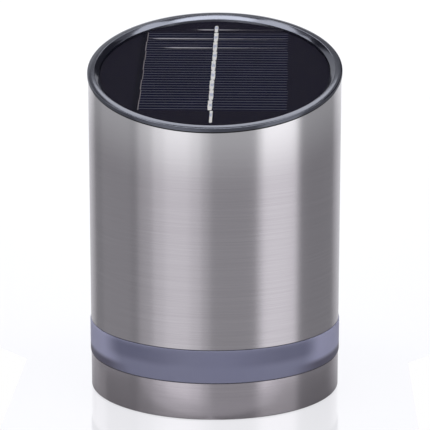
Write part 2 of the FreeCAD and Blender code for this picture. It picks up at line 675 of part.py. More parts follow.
def screw_up(radius, length, head_radius, head_height, x, y, seat):
    """A screw that points up, its head's upper face at a height."""
    shank = post(radius, seat, seat + length, x, y)
    return joined([shank, post(head_radius, seat - head_height, seat, x, y)])


def screw_down(radius, length, head_radius, head_height, x, y, seat):
    """A screw that points down, its head's lower face at a height."""
    shank = post(radius, seat - length, seat, x, y)
    return joined([shank, post(head_radius, seat, seat + head_height, x, y)])


def cross_recess(radius, x, y, face, into):
    """A plus-shaped cut in a screw's head, going in along +Z or -Z."""
    width = radius * CROSS_WIDTH_SHARE
    reach = radius * CROSS_REACH_SHARE
    low, high = sorted((face, face + into))
    return [block(x - reach, x + reach, y - width / 2, y + width / 2, low, high),
            block(x - width / 2, x + width / 2, y - reach, y + reach, low, high)]


def cover_screws():
    seat = COVER_BOTTOM + COVER_THICKNESS
    pieces = []
    for x, y in cover_screw_places():
        screw = screw_down(COVER_SCREW_RADIUS, COVER_SCREW_LENGTH, COVER_SCREW_HEAD_RADIUS,
                           COVER_SCREW_HEAD_HEIGHT, x, y, seat)
        cross = cross_recess(COVER_SCREW_HEAD_RADIUS, x, y, seat + COVER_SCREW_HEAD_HEIGHT,
                             -COVER_SCREW_HEAD_HEIGHT / 2)
        pieces.append(screw.cut(cross))
    return group(pieces)


def tie_rods():
    """Long screws from the underside into the bezel's bosses."""
    seat = ROD_HEAD_DEPTH + ROD_HEAD_HEIGHT
    tip = bezel_boss_bottom() + ROD_GRIP
    pieces = []
    for x, y in rod_places():
        rod = screw_up(ROD_RADIUS, tip - seat, ROD_HEAD_RADIUS, ROD_HEAD_HEIGHT, x, y, seat)
        cross = cross_recess(ROD_HEAD_RADIUS, x, y, ROD_HEAD_DEPTH, ROD_HEAD_HEIGHT / 2)
        pieces.append(rod.cut(cross))
    return group(pieces)


def reflector_span():
    low = BAND_HEIGHT - SPIGOT_LENGTH
    return low, COVER_BOTTOM - HAIRLINE


def reflector_radii():
    inner = DRUM_RADIUS + HAIRLINE
    return inner, inner + REFLECTOR_WALL, LIGHT_RING_INNER - REFLECTOR_CLEARANCE


def reflector():
    low, high = reflector_span()
    inner, wall, outer = reflector_radii()
    floor, roof = low + REFLECTOR_WALL, high - REFLECTOR_WALL
    outline = [(inner, low), (outer, low), (outer, floor), (wall, floor),
               (wall, roof), (outer, roof), (outer, high), (inner, high)]
    return turned(outline).cut(led_wire_runs(HAIRLINE))


def strip_middle():
    return BAND_HEIGHT + LIGHT_RING_HEIGHT / 2


def led_strip():
    inner = reflector_radii()[1] + HAIRLINE
    half = STRIP_HEIGHT / 2
    return ring(inner + STRIP_THICKNESS, inner, strip_middle() - half, strip_middle() + half)


def leds():
    seat = reflector_radii()[1] + HAIRLINE + STRIP_THICKNESS
    sag = seat - math.sqrt(seat ** 2 - (LED_LENGTH / 2) ** 2)
    half = LED_HEIGHT / 2
    lamp = block(seat + sag / 2, seat + LED_DEPTH, -LED_LENGTH / 2, LED_LENGTH / 2,
                 strip_middle() - half, strip_middle() + half)
    lamp = lamp.cut(post(seat, 0, COVER_BOTTOM))
    pieces = []
    for step in range(LED_COUNT):
        turned_lamp = lamp.copy()
        turned_lamp.rotate(vec(0, 0, 0), vec(0, 0, 1), FULL_TURN_DEG * (step + 1 / 2) / LED_COUNT)
        pieces.append(turned_lamp)
    return group(pieces)


def control_board():
    half = BOARD_WIDTH / 2
    board = plate(BOARD_LENGTH / 2, BOARD_Y - half, BOARD_Y + half, BOARD_HEIGHT, BOARD_TOP,
                  BOARD_SCREW_INSET / 2)
    for x, y in board_corners():
        board = board.cut(post(BOARD_SCREW_RADIUS + SCREW_CLEARANCE, 0, COVER_BOTTOM, x, y))
    for x, y in battery_wire_places():
        board = board.cut(post(WIRE_RADIUS + HAIRLINE, 0, COVER_BOTTOM, x, y))
    return board


def board_screws():
    pieces = []
    for x, y in board_corners():
        screw = screw_down(BOARD_SCREW_RADIUS, BOARD_SCREW_LENGTH, BOARD_SCREW_HEAD_RADIUS,
                           BOARD_SCREW_HEAD_HEIGHT, x, y, BOARD_TOP)
        cross = cross_recess(BOARD_SCREW_HEAD_RADIUS, x, y, BOARD_TOP + BOARD_SCREW_HEAD_HEIGHT,
                             -BOARD_SCREW_HEAD_HEIGHT / 2)
        pieces.append(screw.cut(cross))
    return group(pieces)


def panel_connector():
    half = CONNECTOR_LENGTH / 2
    return block(-half, half, CABLE_HOLE_Y - CONNECTOR_WIDTH / 2, CABLE_HOLE_Y + CONNECTOR_WIDTH / 2,
                 BOARD_TOP, BOARD_TOP + CONNECTOR_HEIGHT)


def led_connector():
    outer = BOARD_LENGTH / 2 - HAIRLINE
    half = CONNECTOR_LENGTH / 2
    return block(outer - CONNECTOR_WIDTH, outer, BOARD_Y - half, BOARD_Y + half,
                 BOARD_TOP, BOARD_TOP + CONNECTOR_HEIGHT)


def board_parts():
    """Driver chip, capacitor, coil and two connectors, spread over the board."""
    half = CHIP_SIZE / 2
    chip = block(CHIP_X - half, CHIP_X + half, BOARD_Y - half, BOARD_Y + half,
                 BOARD_TOP, BOARD_TOP + CHIP_HEIGHT)
    capacitor = post(CAPACITOR_RADIUS, BOARD_TOP, BOARD_TOP + CAPACITOR_HEIGHT, 0, CAPACITOR_Y)
    coil = post(COIL_RADIUS, BOARD_TOP, BOARD_TOP + COIL_HEIGHT, COIL_X, CAPACITOR_Y)
    return group([chip, capacitor, coil, panel_connector(), led_connector()])


def battery_axes():
    """Heights and places of the two cells: y of the axis and the side its button faces."""
    first = ROOM_FRONT_Y + BATTERY_SIDE_GAP + BATTERY_RADIUS
    return ((first, 1), (first + CELL_DIAMETER + BATTERY_GAP, -1))


def battery_cells():
    pieces = []
    for y, side in battery_axes():
        button_end = side * (ROOM_HALF_LENGTH - CONTACT_THICKNESS)
        body = BATTERY_LENGTH - BUTTON_LENGTH
        body_start = button_end - side * BUTTON_LENGTH
        toward = vec(-side, 0, 0)
        can = rod_along(toward, BATTERY_RADIUS, body, vec(body_start, y, BATTERY_AXIS_Z))
        button = rod_along(toward, BUTTON_RADIUS, BUTTON_LENGTH, vec(button_end, y, BATTERY_AXIS_Z))
        pieces.append(joined([can, button]))
    return group(pieces)


def contact_plate(side, y):
    wall = side * ROOM_HALF_LENGTH
    near, far = sorted((wall, wall - side * CONTACT_THICKNESS))
    half = CONTACT_WIDTH / 2
    low = BATTERY_AXIS_Z - CONTACT_HEIGHT / 2
    return block(near, far, y - half, y + half, low, low + CONTACT_HEIGHT)


def contact_plates():
    return group([contact_plate(side, y) for y, side in battery_axes()])


def contact_springs():
    """Coil springs, each on its own plate, that press on the flat ends of the cells."""
    pieces = []
    for y, side in battery_axes():
        base_x = -side * (ROOM_HALF_LENGTH - CONTACT_THICKNESS - SPRING_WIRE_RADIUS)
        free = SPRING_LENGTH - 2 * SPRING_WIRE_RADIUS - HAIRLINE
        helix = Part.makeHelix(free / SPRING_TURNS, free, SPRING_RADIUS)
        section = Part.Circle(vec(SPRING_RADIUS, 0, 0), vec(0, 1, 0), SPRING_WIRE_RADIUS)
        coil = Part.Wire(helix).makePipeShell([Part.Wire(section.toShape())], True, True)
        coil.rotate(vec(0, 0, 0), vec(0, 1, 0), QUARTER_TURN_DEG * side)
        coil.translate(vec(base_x, y, BATTERY_AXIS_Z))
        pieces.append(coil)
        pieces.append(contact_plate(-side, y))
    return group(pieces)


def battery_door():
    door = door_shape(0, 0, DOOR_THICKNESS)
    reach = ROOM_HALF_LENGTH / 2
    solids = [door]
    for x in (-reach, reach):
        solids.append(block(x - DOOR_RIB_WIDTH / 2, x + DOOR_RIB_WIDTH / 2, ROOM_FRONT_Y + DOOR_GAP,
                            BATTERY_ROOM_Y - DOOR_GAP, DOOR_THICKNESS, DOOR_THICKNESS + DOOR_RIB_HEIGHT))
    for x in knuckle_places():
        half = KNUCKLE_LENGTH / 2
        solids.append(along_hinge(KNUCKLE_RADIUS, KNUCKLE_LENGTH, x))
        arm_low = HINGE_HEIGHT - KNUCKLE_RADIUS
        solids.append(block(x - half, x + half, DOOR_REAR_Y - DOOR_GAP, HINGE_Y,
                            arm_low, DOOR_THICKNESS))
    door = joined(solids)
    for x in knuckle_places():
        door = door.cut(along_hinge(HINGE_PIN_RADIUS + HINGE_CLEARANCE, KNUCKLE_LENGTH + OVERRUN, x))
    recess = LOCK_HEAD_RECESS + LOCK_HEAD_HEIGHT + HAIRLINE
    door = door.cut(post(LOCK_HEAD_RADIUS + HINGE_CLEARANCE, -OVERRUN, recess, 0, LOCK_Y))
    return door.cut(post(LOCK_STEM_RADIUS + HINGE_CLEARANCE, 0, DOOR_THICKNESS + OVERRUN, 0, LOCK_Y))


def door_seal():
    """A flat rubber frame on the ledge round the battery room."""
    low, high = DOOR_LEDGE - DOOR_SEAL_THICKNESS, DOOR_LEDGE
    edge = (DOOR_MARGIN - DOOR_SEAL_WIDTH) / 2
    far = edge + DOOR_SEAL_WIDTH
    outer = plate(ROOM_HALF_LENGTH + far, ROOM_FRONT_Y - far, BATTERY_ROOM_Y + far,
                  low, high, DOOR_SEAL_WIDTH)
    inner = mid_block(ROOM_HALF_LENGTH + edge, ROOM_FRONT_Y - edge, BATTERY_ROOM_Y + edge,
                      low - OVERRUN, high + OVERRUN)
    return outer.cut(inner)


def hinge_pins():
    length = KNUCKLE_LENGTH + 2 * HINGE_PIN_GRIP
    return group([along_hinge(HINGE_PIN_RADIUS, length, x) for x in knuckle_places()])


def door_lock():
    """A coin-slotted stud that a quarter turn locks on the bar above it."""
    low = LOCK_HEAD_RECESS
    stud = joined([post(LOCK_HEAD_RADIUS, low, low + LOCK_HEAD_HEIGHT, 0, LOCK_Y),
                   post(LOCK_STEM_RADIUS, low, LOCK_STEM_TOP, 0, LOCK_Y)])
    half = LOCK_COIN_SLOT_WIDTH / 2
    slot = block(-LOCK_COIN_SLOT_REACH, LOCK_COIN_SLOT_REACH, LOCK_Y - half, LOCK_Y + half,
                 low - OVERRUN, low + LOCK_COIN_SLOT_DEPTH)
    return stud.cut(slot)


def lock_bar(grow):
    z = LOCK_STEM_TOP + LOCK_BAR_RADIUS + HAIRLINE
    reach = LOCK_STEM_RADIUS + LOCK_HOLE_CLEARANCE + LOCK_BOSS_WALL / 2 + grow
    return rod_along(vec(1, 0, 0), LOCK_BAR_RADIUS + grow, 2 * reach, vec(-reach, LOCK_Y, z))


def switch_room():
    """The finger pocket in the underside with the slot that the knob runs in."""
    half_x = (SWITCH_KNOB_LENGTH + SWITCH_TRAVEL) / 2
    half_y = SWITCH_KNOB_WIDTH / 2
    margin = SWITCH_POCKET_MARGIN
    pocket = mid_block(half_x + margin, SWITCH_Y - half_y - margin, SWITCH_Y + half_y + margin,
                       -OVERRUN, SWITCH_POCKET_DEPTH)
    slot = mid_block(half_x + GUIDE_CLEARANCE, SWITCH_Y - half_y - GUIDE_CLEARANCE,
                     SWITCH_Y + half_y + GUIDE_CLEARANCE, 0, FLOOR_THICKNESS + OVERRUN)
    return joined([pocket, slot.common(mid_block(TUBE_RADIUS, 0, TUBE_RADIUS, 0, FLOOR_THICKNESS))])


def switch_body():
    half_x, half_y = SWITCH_BODY_LENGTH / 2, SWITCH_BODY_WIDTH / 2
    body = mid_block(half_x, SWITCH_Y - half_y, SWITCH_Y + half_y,
                     FLOOR_THICKNESS, FLOOR_THICKNESS + SWITCH_BODY_HEIGHT)
    run = (SWITCH_KNOB_LENGTH + SWITCH_TRAVEL) / 2 + GUIDE_CLEARANCE
    side = SWITCH_KNOB_WIDTH / 2 + GUIDE_CLEARANCE
    top = FLOOR_THICKNESS + SWITCH_KNOB_ENGAGEMENT + GUIDE_CLEARANCE
    return body.cut(mid_block(run, SWITCH_Y - side, SWITCH_Y + side, 0, top))


def switch_knob():
    start = -(SWITCH_KNOB_LENGTH + SWITCH_TRAVEL) / 2
    half = SWITCH_KNOB_WIDTH / 2
    return block(start, start + SWITCH_KNOB_LENGTH, SWITCH_Y - half, SWITCH_Y + half,
                 SWITCH_KNOB_RECESS, FLOOR_THICKNESS + SWITCH_KNOB_ENGAGEMENT)


def bent_wire(points, radius):
    """A round wire along straight runs joined by tangent arcs."""
    edges = []
    start = points[0]
    for before, corner, after in zip(points, points[1:], points[2:]):
        back = (before - corner).normalize()
        ahead = (after - corner).normalize()
        half_turn = back.getAngle(ahead) / 2
        reach = WIRE_BEND_RADIUS / math.tan(half_turn)
        middle_way = (back + ahead).normalize()
        centre_gap = WIRE_BEND_RADIUS / math.sin(half_turn)
        arc_start = corner + back * reach
        arc_end = corner + ahead * reach
        arc_middle = corner + middle_way * (centre_gap - WIRE_BEND_RADIUS)
        edges.append(Part.LineSegment(start, arc_start).toShape())
        edges.append(Part.Arc(arc_start, arc_middle, arc_end).toShape())
        start = arc_end
    edges.append(Part.LineSegment(start, points[-1]).toShape())
    path = Part.Wire(edges)
    first_run = (points[1] - points[0]).normalize()
    profile = Part.Wire(Part.Circle(points[0], first_run, radius).toShape())
    return path.makePipeShell([profile], True, True)


def panel_wires():
    """Straight down from the panel through grommet and cover to the board's connector."""
    top = CUT_AXIS_HEIGHT + SLOPE * CABLE_HOLE_Y + BACKING_BOTTOM
    pieces = []
    for x in wire_pair_x():
        pieces.append(post(WIRE_RADIUS, BOARD_TOP + CONNECTOR_HEIGHT, top, x, CABLE_HOLE_Y))
    return group(pieces)


def battery_wire_places():
    """Where the two battery wires come up through the board."""
    x = 2 * BOARD_SCREW_INSET - BOARD_LENGTH / 2
    return ((x, BOARD_Y), (x, BOARD_Y + WIRE_SPACING))


def battery_wires():
    """From the left wall of the battery box up through the board."""
    pieces = []
    wall_y = BATTERY_ROOM_Y + BOX_WALL
    for index, (x, y) in enumerate(battery_wire_places()):
        height = BATTERY_AXIS_Z - index * WIRE_SPACING
        points = [vec(x, wall_y, height), vec(x, y, height), vec(x, y, BOARD_TOP)]
        pieces.append(bent_wire(points, WIRE_RADIUS))
    return group(pieces)


def led_wire_runs(grow):
    z = BOARD_TOP + CONNECTOR_HEIGHT / 2
    start = BOARD_LENGTH / 2 - HAIRLINE
    reach = reflector_radii()[1]
    length = math.sqrt(reach ** 2 - (BOARD_Y + WIRE_SPACING) ** 2) - start
    return [rod_along(vec(1, 0, 0), WIRE_RADIUS + grow, length, vec(start, BOARD_Y + y, z))
            for y in wire_pair_x()]


def led_wires():
    """From the board's side connector out through the drum to the light strip."""
    return group(led_wire_runs(0))


def mount_screw_heights():
    middle = MOUNT_BOTTOM + MOUNT_HEIGHT / 2
    return (middle - MOUNT_SCREW_SPACING / 2, middle + MOUNT_SCREW_SPACING / 2)


def mount_gasket():
    top = MOUNT_BOTTOM + MOUNT_HEIGHT
    pad = ring(MOUNT_FACE_Y, TUBE_RADIUS, MOUNT_BOTTOM, top)
    pad = pad.common(mid_block(MOUNT_WIDTH / 2, 0, TUBE_DIAMETER, MOUNT_BOTTOM, top))
    hole = MOUNT_SCREW_RADIUS + SCREW_CLEARANCE
    for z in mount_screw_heights():
        pad = pad.cut(rod_along(vec(0, 1, 0), hole, TUBE_DIAMETER, vec(0, 0, z)))
    return pad


def mount_block():
    """T-shaped in plan: a saddle on the tube, a neck, and a head that the bracket's rails hold."""
    top = MOUNT_BOTTOM + MOUNT_HEIGHT
    saddle = mid_block(MOUNT_WIDTH / 2, TUBE_INNER / 2, NECK_Y, MOUNT_BOTTOM, top)
    neck = mid_block(LIP_INNER - GUIDE_CLEARANCE, TUBE_INNER / 2, HEAD_REAR_Y, MOUNT_BOTTOM, top)
    head = mid_block(RAIL_INNER - GUIDE_CLEARANCE, HEAD_FRONT_Y, HEAD_REAR_Y, MOUNT_BOTTOM, top)
    solid = joined([saddle, neck, head]).cut(post(MOUNT_FACE_Y, 0, CUT_AXIS_HEIGHT))
    reach = TUBE_RADIUS + MOUNT_SCREW_GRIP
    for z in mount_screw_heights():
        solid = solid.cut(rod_along(vec(0, 1, 0), MOUNT_SCREW_RADIUS, reach, vec(0, 0, z)))
    hole_top = MOUNT_BOTTOM + LOCK_SCREW_GRIP + SCREW_CLEARANCE
    return solid.cut(post(LOCK_SCREW_RADIUS + GUIDE_CLEARANCE, 0, hole_top, 0, LOCK_SCREW_Y))


def mount_screws():
    """From inside the tube out into the mount block."""
    seat = math.sqrt(TUBE_INNER ** 2 - MOUNT_SCREW_HEAD_RADIUS ** 2)
    head_start = seat - MOUNT_SCREW_HEAD_HEIGHT
    length = TUBE_RADIUS + MOUNT_SCREW_GRIP - seat
    out = vec(0, 1, 0)
    pieces = []
    for z in mount_screw_heights():
        head = rod_along(out, MOUNT_SCREW_HEAD_RADIUS, MOUNT_SCREW_HEAD_HEIGHT, vec(0, head_start, z))
        shank = rod_along(out, MOUNT_SCREW_RADIUS, length, vec(0, seat, z))
        pieces.append(joined([head, shank]))
    return group(pieces)


def wall_bracket():
    """A steel plate on the wall with two rails, folded in at the front, and a stop tab below."""
    top = PLATE_BOTTOM + PLATE_HEIGHT
    back = mid_block(RAIL_OUTER, PLATE_FRONT_Y, WALL_Y, PLATE_BOTTOM, top)
    corners = [e for e in back.Edges if abs(e.tangentAt(e.FirstParameter).y) > SLOPE_COS]
    back = back.makeFillet(PLATE_CORNER_RADIUS, corners)
    rail_top = MOUNT_BOTTOM + MOUNT_HEIGHT
    solids = [back]
    for side in (-1, 1):
        x0, x1 = sorted((side * RAIL_INNER, side * RAIL_OUTER))
        solids.append(block(x0, x1, LIP_FRONT_Y, PLATE_FRONT_Y, MOUNT_BOTTOM, rail_top))
        x0, x1 = sorted((side * LIP_INNER, side * RAIL_OUTER))
        solids.append(block(x0, x1, LIP_FRONT_Y, LIP_REAR_Y, MOUNT_BOTTOM, rail_top))
    tab_front = LOCK_SCREW_Y - LOCK_SCREW_HEAD_RADIUS
    solids.append(mid_block(TAB_WIDTH / 2, tab_front, PLATE_FRONT_Y, TAB_TOP - RAIL_THICKNESS, TAB_TOP))
    bracket = joined(solids)
    bracket = bracket.cut(post(LOCK_SCREW_RADIUS, 0, MOUNT_BOTTOM, 0, LOCK_SCREW_Y))
    for z in (PLATE_BOTTOM + WALL_HOLE_INSET, top - WALL_HOLE_INSET):
        bracket = bracket.cut(rod_along(vec(0, 1, 0), WALL_HOLE_RADIUS, TUBE_DIAMETER, vec(0, 0, z)))
    return bracket


def lock_screw():
    """Goes up through the tab into the mount block, so that the lamp can't be lifted off."""
    seat = TAB_TOP - RAIL_THICKNESS
    length = MOUNT_BOTTOM + LOCK_SCREW_GRIP - seat
    screw = screw_up(LOCK_SCREW_RADIUS, length, LOCK_SCREW_HEAD_RADIUS, LOCK_SCREW_HEAD_HEIGHT,
                     0, LOCK_SCREW_Y, seat)
    cross = cross_recess(LOCK_SCREW_HEAD_RADIUS, 0, LOCK_SCREW_Y, seat - LOCK_SCREW_HEAD_HEIGHT,
                         LOCK_SCREW_HEAD_HEIGHT / 2)
    return screw.cut(cross)


def lower_ring_seal():
    return ring_seal(BAND_HEIGHT)


def upper_ring_seal():
    return ring_seal(TUBE_BOTTOM - SEAL_THICKNESS)


def lock_spring_bar():
    return lock_bar(0)


PIECES = (
    main_tube, base_band, light_ring, lower_ring_seal, upper_ring_seal, top_bezel, bezel_seal,
    solar_cells, cell_ribbons, lead_ribbons, panel_resin, panel_backing, panel_adhesive, wire_grommet,
    base_housing, housing_cover, cover_screws, tie_rods, reflector, led_strip, leds,
    control_board, board_parts, board_screws, battery_cells, contact_plates, contact_springs,
    battery_door, door_seal, hinge_pins, door_lock, lock_spring_bar, switch_body, switch_knob,
    panel_wires, battery_wires, led_wires, mount_gasket, mount_block, mount_screws, wall_bracket,
    lock_screw)


def main():
    os.makedirs("parts", exist_ok=True)
    for make in PIECES:
        shape = make()
        shape.exportStep(f"parts/{make.__name__}.step")
        print(make.__name__, len(shape.Solids), f"{shape.Volume:.1f} mm3", shape.isValid())


main()
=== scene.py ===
# %% [markdown]
# # Dressing a solar wall light
#
# The lamp is a steel cylinder with a slanted top. A dark plastic rim holds a small solar panel
# there, a frosted ring lets the light out low down, and a wall bracket hides behind. The packed
# model already has every piece in its place and at its real size, so this lesson is about looks:
# finer meshes where the eye lingers, a finish for each material, a studio and a camera.
#
# The frame comes first. Each of its nodes sits at the origin in metres, with its place in its
# vertices, so anything made here with the same numbers lands where the real piece is.

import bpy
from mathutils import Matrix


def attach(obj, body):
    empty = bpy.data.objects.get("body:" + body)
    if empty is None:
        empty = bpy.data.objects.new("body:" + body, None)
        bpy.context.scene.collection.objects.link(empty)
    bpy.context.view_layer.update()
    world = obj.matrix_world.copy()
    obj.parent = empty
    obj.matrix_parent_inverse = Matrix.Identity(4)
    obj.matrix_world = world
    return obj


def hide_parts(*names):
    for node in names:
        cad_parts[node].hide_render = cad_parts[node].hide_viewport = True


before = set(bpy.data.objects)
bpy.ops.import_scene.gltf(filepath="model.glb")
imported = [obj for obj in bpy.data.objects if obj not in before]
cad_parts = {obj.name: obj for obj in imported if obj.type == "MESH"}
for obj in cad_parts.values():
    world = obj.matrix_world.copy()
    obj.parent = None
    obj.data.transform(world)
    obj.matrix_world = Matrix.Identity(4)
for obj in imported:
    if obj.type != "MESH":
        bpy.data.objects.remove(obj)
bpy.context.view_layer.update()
print("nodes in the frame:", len(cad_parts))

# %% Import what the lesson uses
import math

import bmesh
import bpy
from mathutils import Vector

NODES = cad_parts
MM = 0.001
print("millimetre in scene units:", MM)

# %% [markdown]
# ## The camera
#
# A long lens from a metre away gives the flat perspective of a product picture. The camera stands a
# little to the right of the lamp and looks down on it, which shows the panel and keeps the sides
# upright. The numbers come from fitting the rim's ellipse and the tube's edges.

# %% Place the camera
CAMERA_PLACE = Vector((0.03455, -0.98090, 0.31470))
CAMERA_YAW_DEG = 2.0125
CAMERA_DOWN_DEG = 13.6425
FOCAL_LENGTH = 191.8
SENSOR_WIDTH = 36.0

camera_data = bpy.data.cameras.new("camera")
camera_data.lens = FOCAL_LENGTH
camera_data.sensor_width = SENSOR_WIDTH
camera = bpy.data.objects.new("camera", camera_data)
bpy.context.scene.collection.objects.link(camera)
yaw, down = math.radians(CAMERA_YAW_DEG), math.radians(CAMERA_DOWN_DEG)
ahead = Vector((-math.sin(yaw) * math.cos(down), math.cos(yaw) * math.cos(down), -math.sin(down)))
camera.location = CAMERA_PLACE
camera.rotation_mode = "QUATERNION"
camera.rotation_quaternion = ahead.to_track_quat("-Z", "Y")
bpy.context.scene.camera = camera
print("camera looks along", tuple(round(part, 3) for part in ahead))

# %% [markdown]
# ## Numbers that vary over a surface
#
# A finish is a sum: a base tone, plus a little grain, less a little wear. In the node editor each
# plus sign is a Math node. Here a small class wraps an output socket, so that the sum can be
# written as a Python expression and the nodes appear by themselves.

# %% Write shader maths as expressions


class Signal:
    """A number that varies over a surface, ready for sums."""

    def __init__(self, socket):
        self.socket = socket

    def combined(self, operation, first, second):
        maths = self.socket.id_data.nodes.new("ShaderNodeMath")
        maths.operation = operation
        plug(first, maths.inputs[0])
        plug(second, maths.inputs[1])
        return Signal(maths.outputs[0])

    def __add__(self, other):
        return self.combined("ADD", self, other)

    def __radd__(self, other):
        return self.combined("ADD", other, self)

    def __sub__(self, other):
        return self.combined("SUBTRACT", self, other)

    def __rsub__(self, other):
        return self.combined("SUBTRACT", other, self)

    def __mul__(self, other):
        return self.combined("MULTIPLY", self, other)

    def __truediv__(self, other):
        return self.combined("DIVIDE", self, other)


def plug(value, socket):
    """Link a signal or a socket, or write a plain value."""
    if isinstance(value, Signal):
        value = value.socket
    if isinstance(value, bpy.types.NodeSocket):
        socket.id_data.links.new(value, socket)
    else:
        socket.default_value = value


print("sums of signals add Math nodes")

# %% [markdown]
# ## A maker of finishes
#
# Everything else goes through one method that adds a node of any type. It takes the settings first,
# because they decide which sockets the node has, and then the values or links of its sockets. The
# other methods are the few recipes that come back again and again: where a point is, noise
# stretched along one direction, and a soft step from one tone to another.

# %% Build finishes from nodes


class Finish:
    """A material in the making."""

    def __init__(self, name):
        self.material = bpy.data.materials.new(name)
        self.material.use_nodes = True
        self.tree = self.material.node_tree
        self.tree.nodes.clear()
        self.place = self.node("ShaderNodeTexCoord").outputs["Object"]

    def node(self, kind, settings=None, inputs=None):
        """Add a node: settings first, then the values or links of its sockets."""
        made = self.tree.nodes.new(kind)
        for name, value in (settings or {}).items():
            if name == "stops":
                self.set_steps(made.color_ramp, value)
            else:
                setattr(made, name, value)
        for name, value in (inputs or {}).items():
            plug(value, made.inputs[name])
        return made

    def set_steps(self, ramp, levels):
        """Levels of grey in equal steps from 0 to 1."""
        ramp.interpolation = "CONSTANT"
        while len(ramp.elements) < len(levels):
            ramp.elements.new(1)
        for index, level in enumerate(levels):
            ramp.elements[index].position = index / len(levels)
            ramp.elements[index].color = grey(level)

    def stretched(self, scale):
        """The place on the piece, counted in cells of another size along each axis."""
        return self.node("ShaderNodeVectorMath", {"operation": "MULTIPLY"},
                         {0: self.place, 1: scale}).outputs[0]

    def noise(self, scale, detail=2.0, roughness=0.5):
        """Noise from 0 to 1 with so many cells per metre along each axis."""
        made = self.node("ShaderNodeTexNoise", None,
                         {"Vector": self.stretched(scale), "Scale": 1.0, "Detail": detail,
                          "Roughness": roughness})
        return Signal(made.outputs["Fac"])

    def along(self, direction, offset=0.0):
        """How far a point lies along a direction, in metres, counted from an offset."""
        made = self.node("ShaderNodeVectorMath", {"operation": "DOT_PRODUCT"},
                         {0: self.place, 1: direction})
        return Signal(made.outputs["Value"]) - offset

    def spread(self, signal):
        """A signal without its sign."""
        made = self.node("ShaderNodeMath", {"operation": "ABSOLUTE"}, {0: signal})
        return Signal(made.outputs[0])

    def ripple(self, count):
        """A wave that is 0 at every whole number of a count and 0.5 halfway between."""
        made = self.node("ShaderNodeMath", {"operation": "PINGPONG"}, {0: count, 1: 0.5})
        return Signal(made.outputs[0])

    def step(self, signal, start, end):
        """A soft step: 0 before start, 1 after end."""
        made = self.node("ShaderNodeMapRange", {"interpolation_type": "SMOOTHSTEP"},
                         {"Value": signal, "From Min": start, "From Max": end})
        return Signal(made.outputs["Result"])

    def blend(self, factor, first, second):
        """A colour between two colours."""
        made = self.node("ShaderNodeMix", {"data_type": "RGBA"}, {0: factor, 6: first, 7: second})
        return made.outputs[2]

    def bump(self, height, distance):
        """A Bump node, with the height of a full step given in metres."""
        made = self.node("ShaderNodeBump", None,
                         {"Strength": 1.0, "Distance": distance, "Height": height})
        return made.outputs["Normal"]

    def surface(self, **sockets):
        """Finish with a Principled shader whose sockets are named in lower case."""
        inputs = {name.replace("_", " ").title().replace("Ior", "IOR"): value
                  for name, value in sockets.items()}
        shader = self.node("ShaderNodeBsdfPrincipled", None, inputs)
        self.node("ShaderNodeOutputMaterial", None, {"Surface": shader.outputs[0]})
        return self.material


def grey(level):
    return (level, level, level, 1)


def dress(material, *names):
    """Give CAD nodes a material in place of the plain one."""
    for name in names:
        slots = NODES[name].data.materials
        slots.clear()
        slots.append(material)


SHARP_EDGE = math.radians(35)


def piece_from(mesh, name, node):
    """Turn a bmesh into a piece that rides with the lamp and stands for a node of the frame."""
    data = bpy.data.meshes.new(name)
    mesh.to_mesh(data)
    mesh.free()
    data.shade_smooth()
    data.set_sharp_from_angle(angle=SHARP_EDGE)
    made = bpy.data.objects.new(name, data)
    bpy.context.scene.collection.objects.link(made)
    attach(made, "lamp")
    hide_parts(node)
    return made


print("a finish is ready to be mixed")

# %% [markdown]
# ## Brushed steel
#
# The tube and the foot band are stainless sheet, brushed round the cylinder before it is rolled.
# The scratches are a fraction of a millimetre high and centimetres long. Noise that is stretched
# along the circumference gives them, and because the cells are long in X and Y and short in Z there
# is no seam.
#
# Brushing also decides how the metal reflects: a lamp's image is smeared across the scratches, so
# it becomes an upright band. That is what Anisotropic does. Its quarter-turn rotation makes the
# smear upright, and both are plain values, because they are the same all over.

# %% Mix brushed steel
SLOPE = math.radians(16.0)
CUT_HEIGHT = 140.2 * MM
TOP_LIGHT_DEPTH, TOP_LIGHT_FULL = 27 * MM, 1.15
HAIR_CELLS, STRAND_CELLS, STEEL_CLOUD_CELLS = (26, 26, 5200), (9, 9, 900), (22, 22, 14)
HAIR_SHARE, STRAND_SHARE, CLOUD_SHARE = 0.75, 0.15, 0.1
DARK_TONE, LIGHT_TONE = 0.30, 0.70
SCRATCH_DEPTH = 0.004 * MM


def brushed_steel(name, light, dark, roughness=0.22, anisotropy=0.60, painted_top_light=None):
    """Steel between two tones, and if asked for, a painted highlight: a third, lighter tone near
    the cut.
    """
    finish = Finish(name)
    hairs = finish.noise(HAIR_CELLS, 3.0, 0.6)
    strands = finish.noise(STRAND_CELLS, 2.0)
    cloud = finish.noise(STEEL_CLOUD_CELLS, 2.0)
    tone = hairs * HAIR_SHARE + strands * STRAND_SHARE + cloud * CLOUD_SHARE
    colour = finish.blend(finish.step(tone, DARK_TONE, LIGHT_TONE), dark, light)
    # Painted light: the steel turns lighter towards the cut at the top of the tube.
    if painted_top_light:
        depth = finish.along((0.0, math.tan(SLOPE), -1.0), -CUT_HEIGHT)
        near_cut = 1 - depth / TOP_LIGHT_DEPTH
        colour = finish.blend(finish.step(near_cut, 0.0, TOP_LIGHT_FULL), colour, painted_top_light)
    return finish.surface(
        base_color=colour,
        metallic=1.0,
        roughness=roughness + (hairs - 0.5) * 0.06 + (cloud - 0.5) * 0.03,
        anisotropic=anisotropy,
        anisotropic_rotation=0.25,
        normal=finish.bump(hairs, SCRATCH_DEPTH))


# The lighter third tone near the tube's top is painted light.
dress(brushed_steel("tube_steel", (0.632, 0.600, 0.640, 1), (0.567, 0.535, 0.573, 1),
                    painted_top_light=(0.93, 0.91, 0.94, 1)), "main_tube")
dress(brushed_steel("band_steel", (0.655, 0.610, 0.660, 1), (0.585, 0.542, 0.588, 1)), "base_band")
print("brushed steel on the tube and the band")

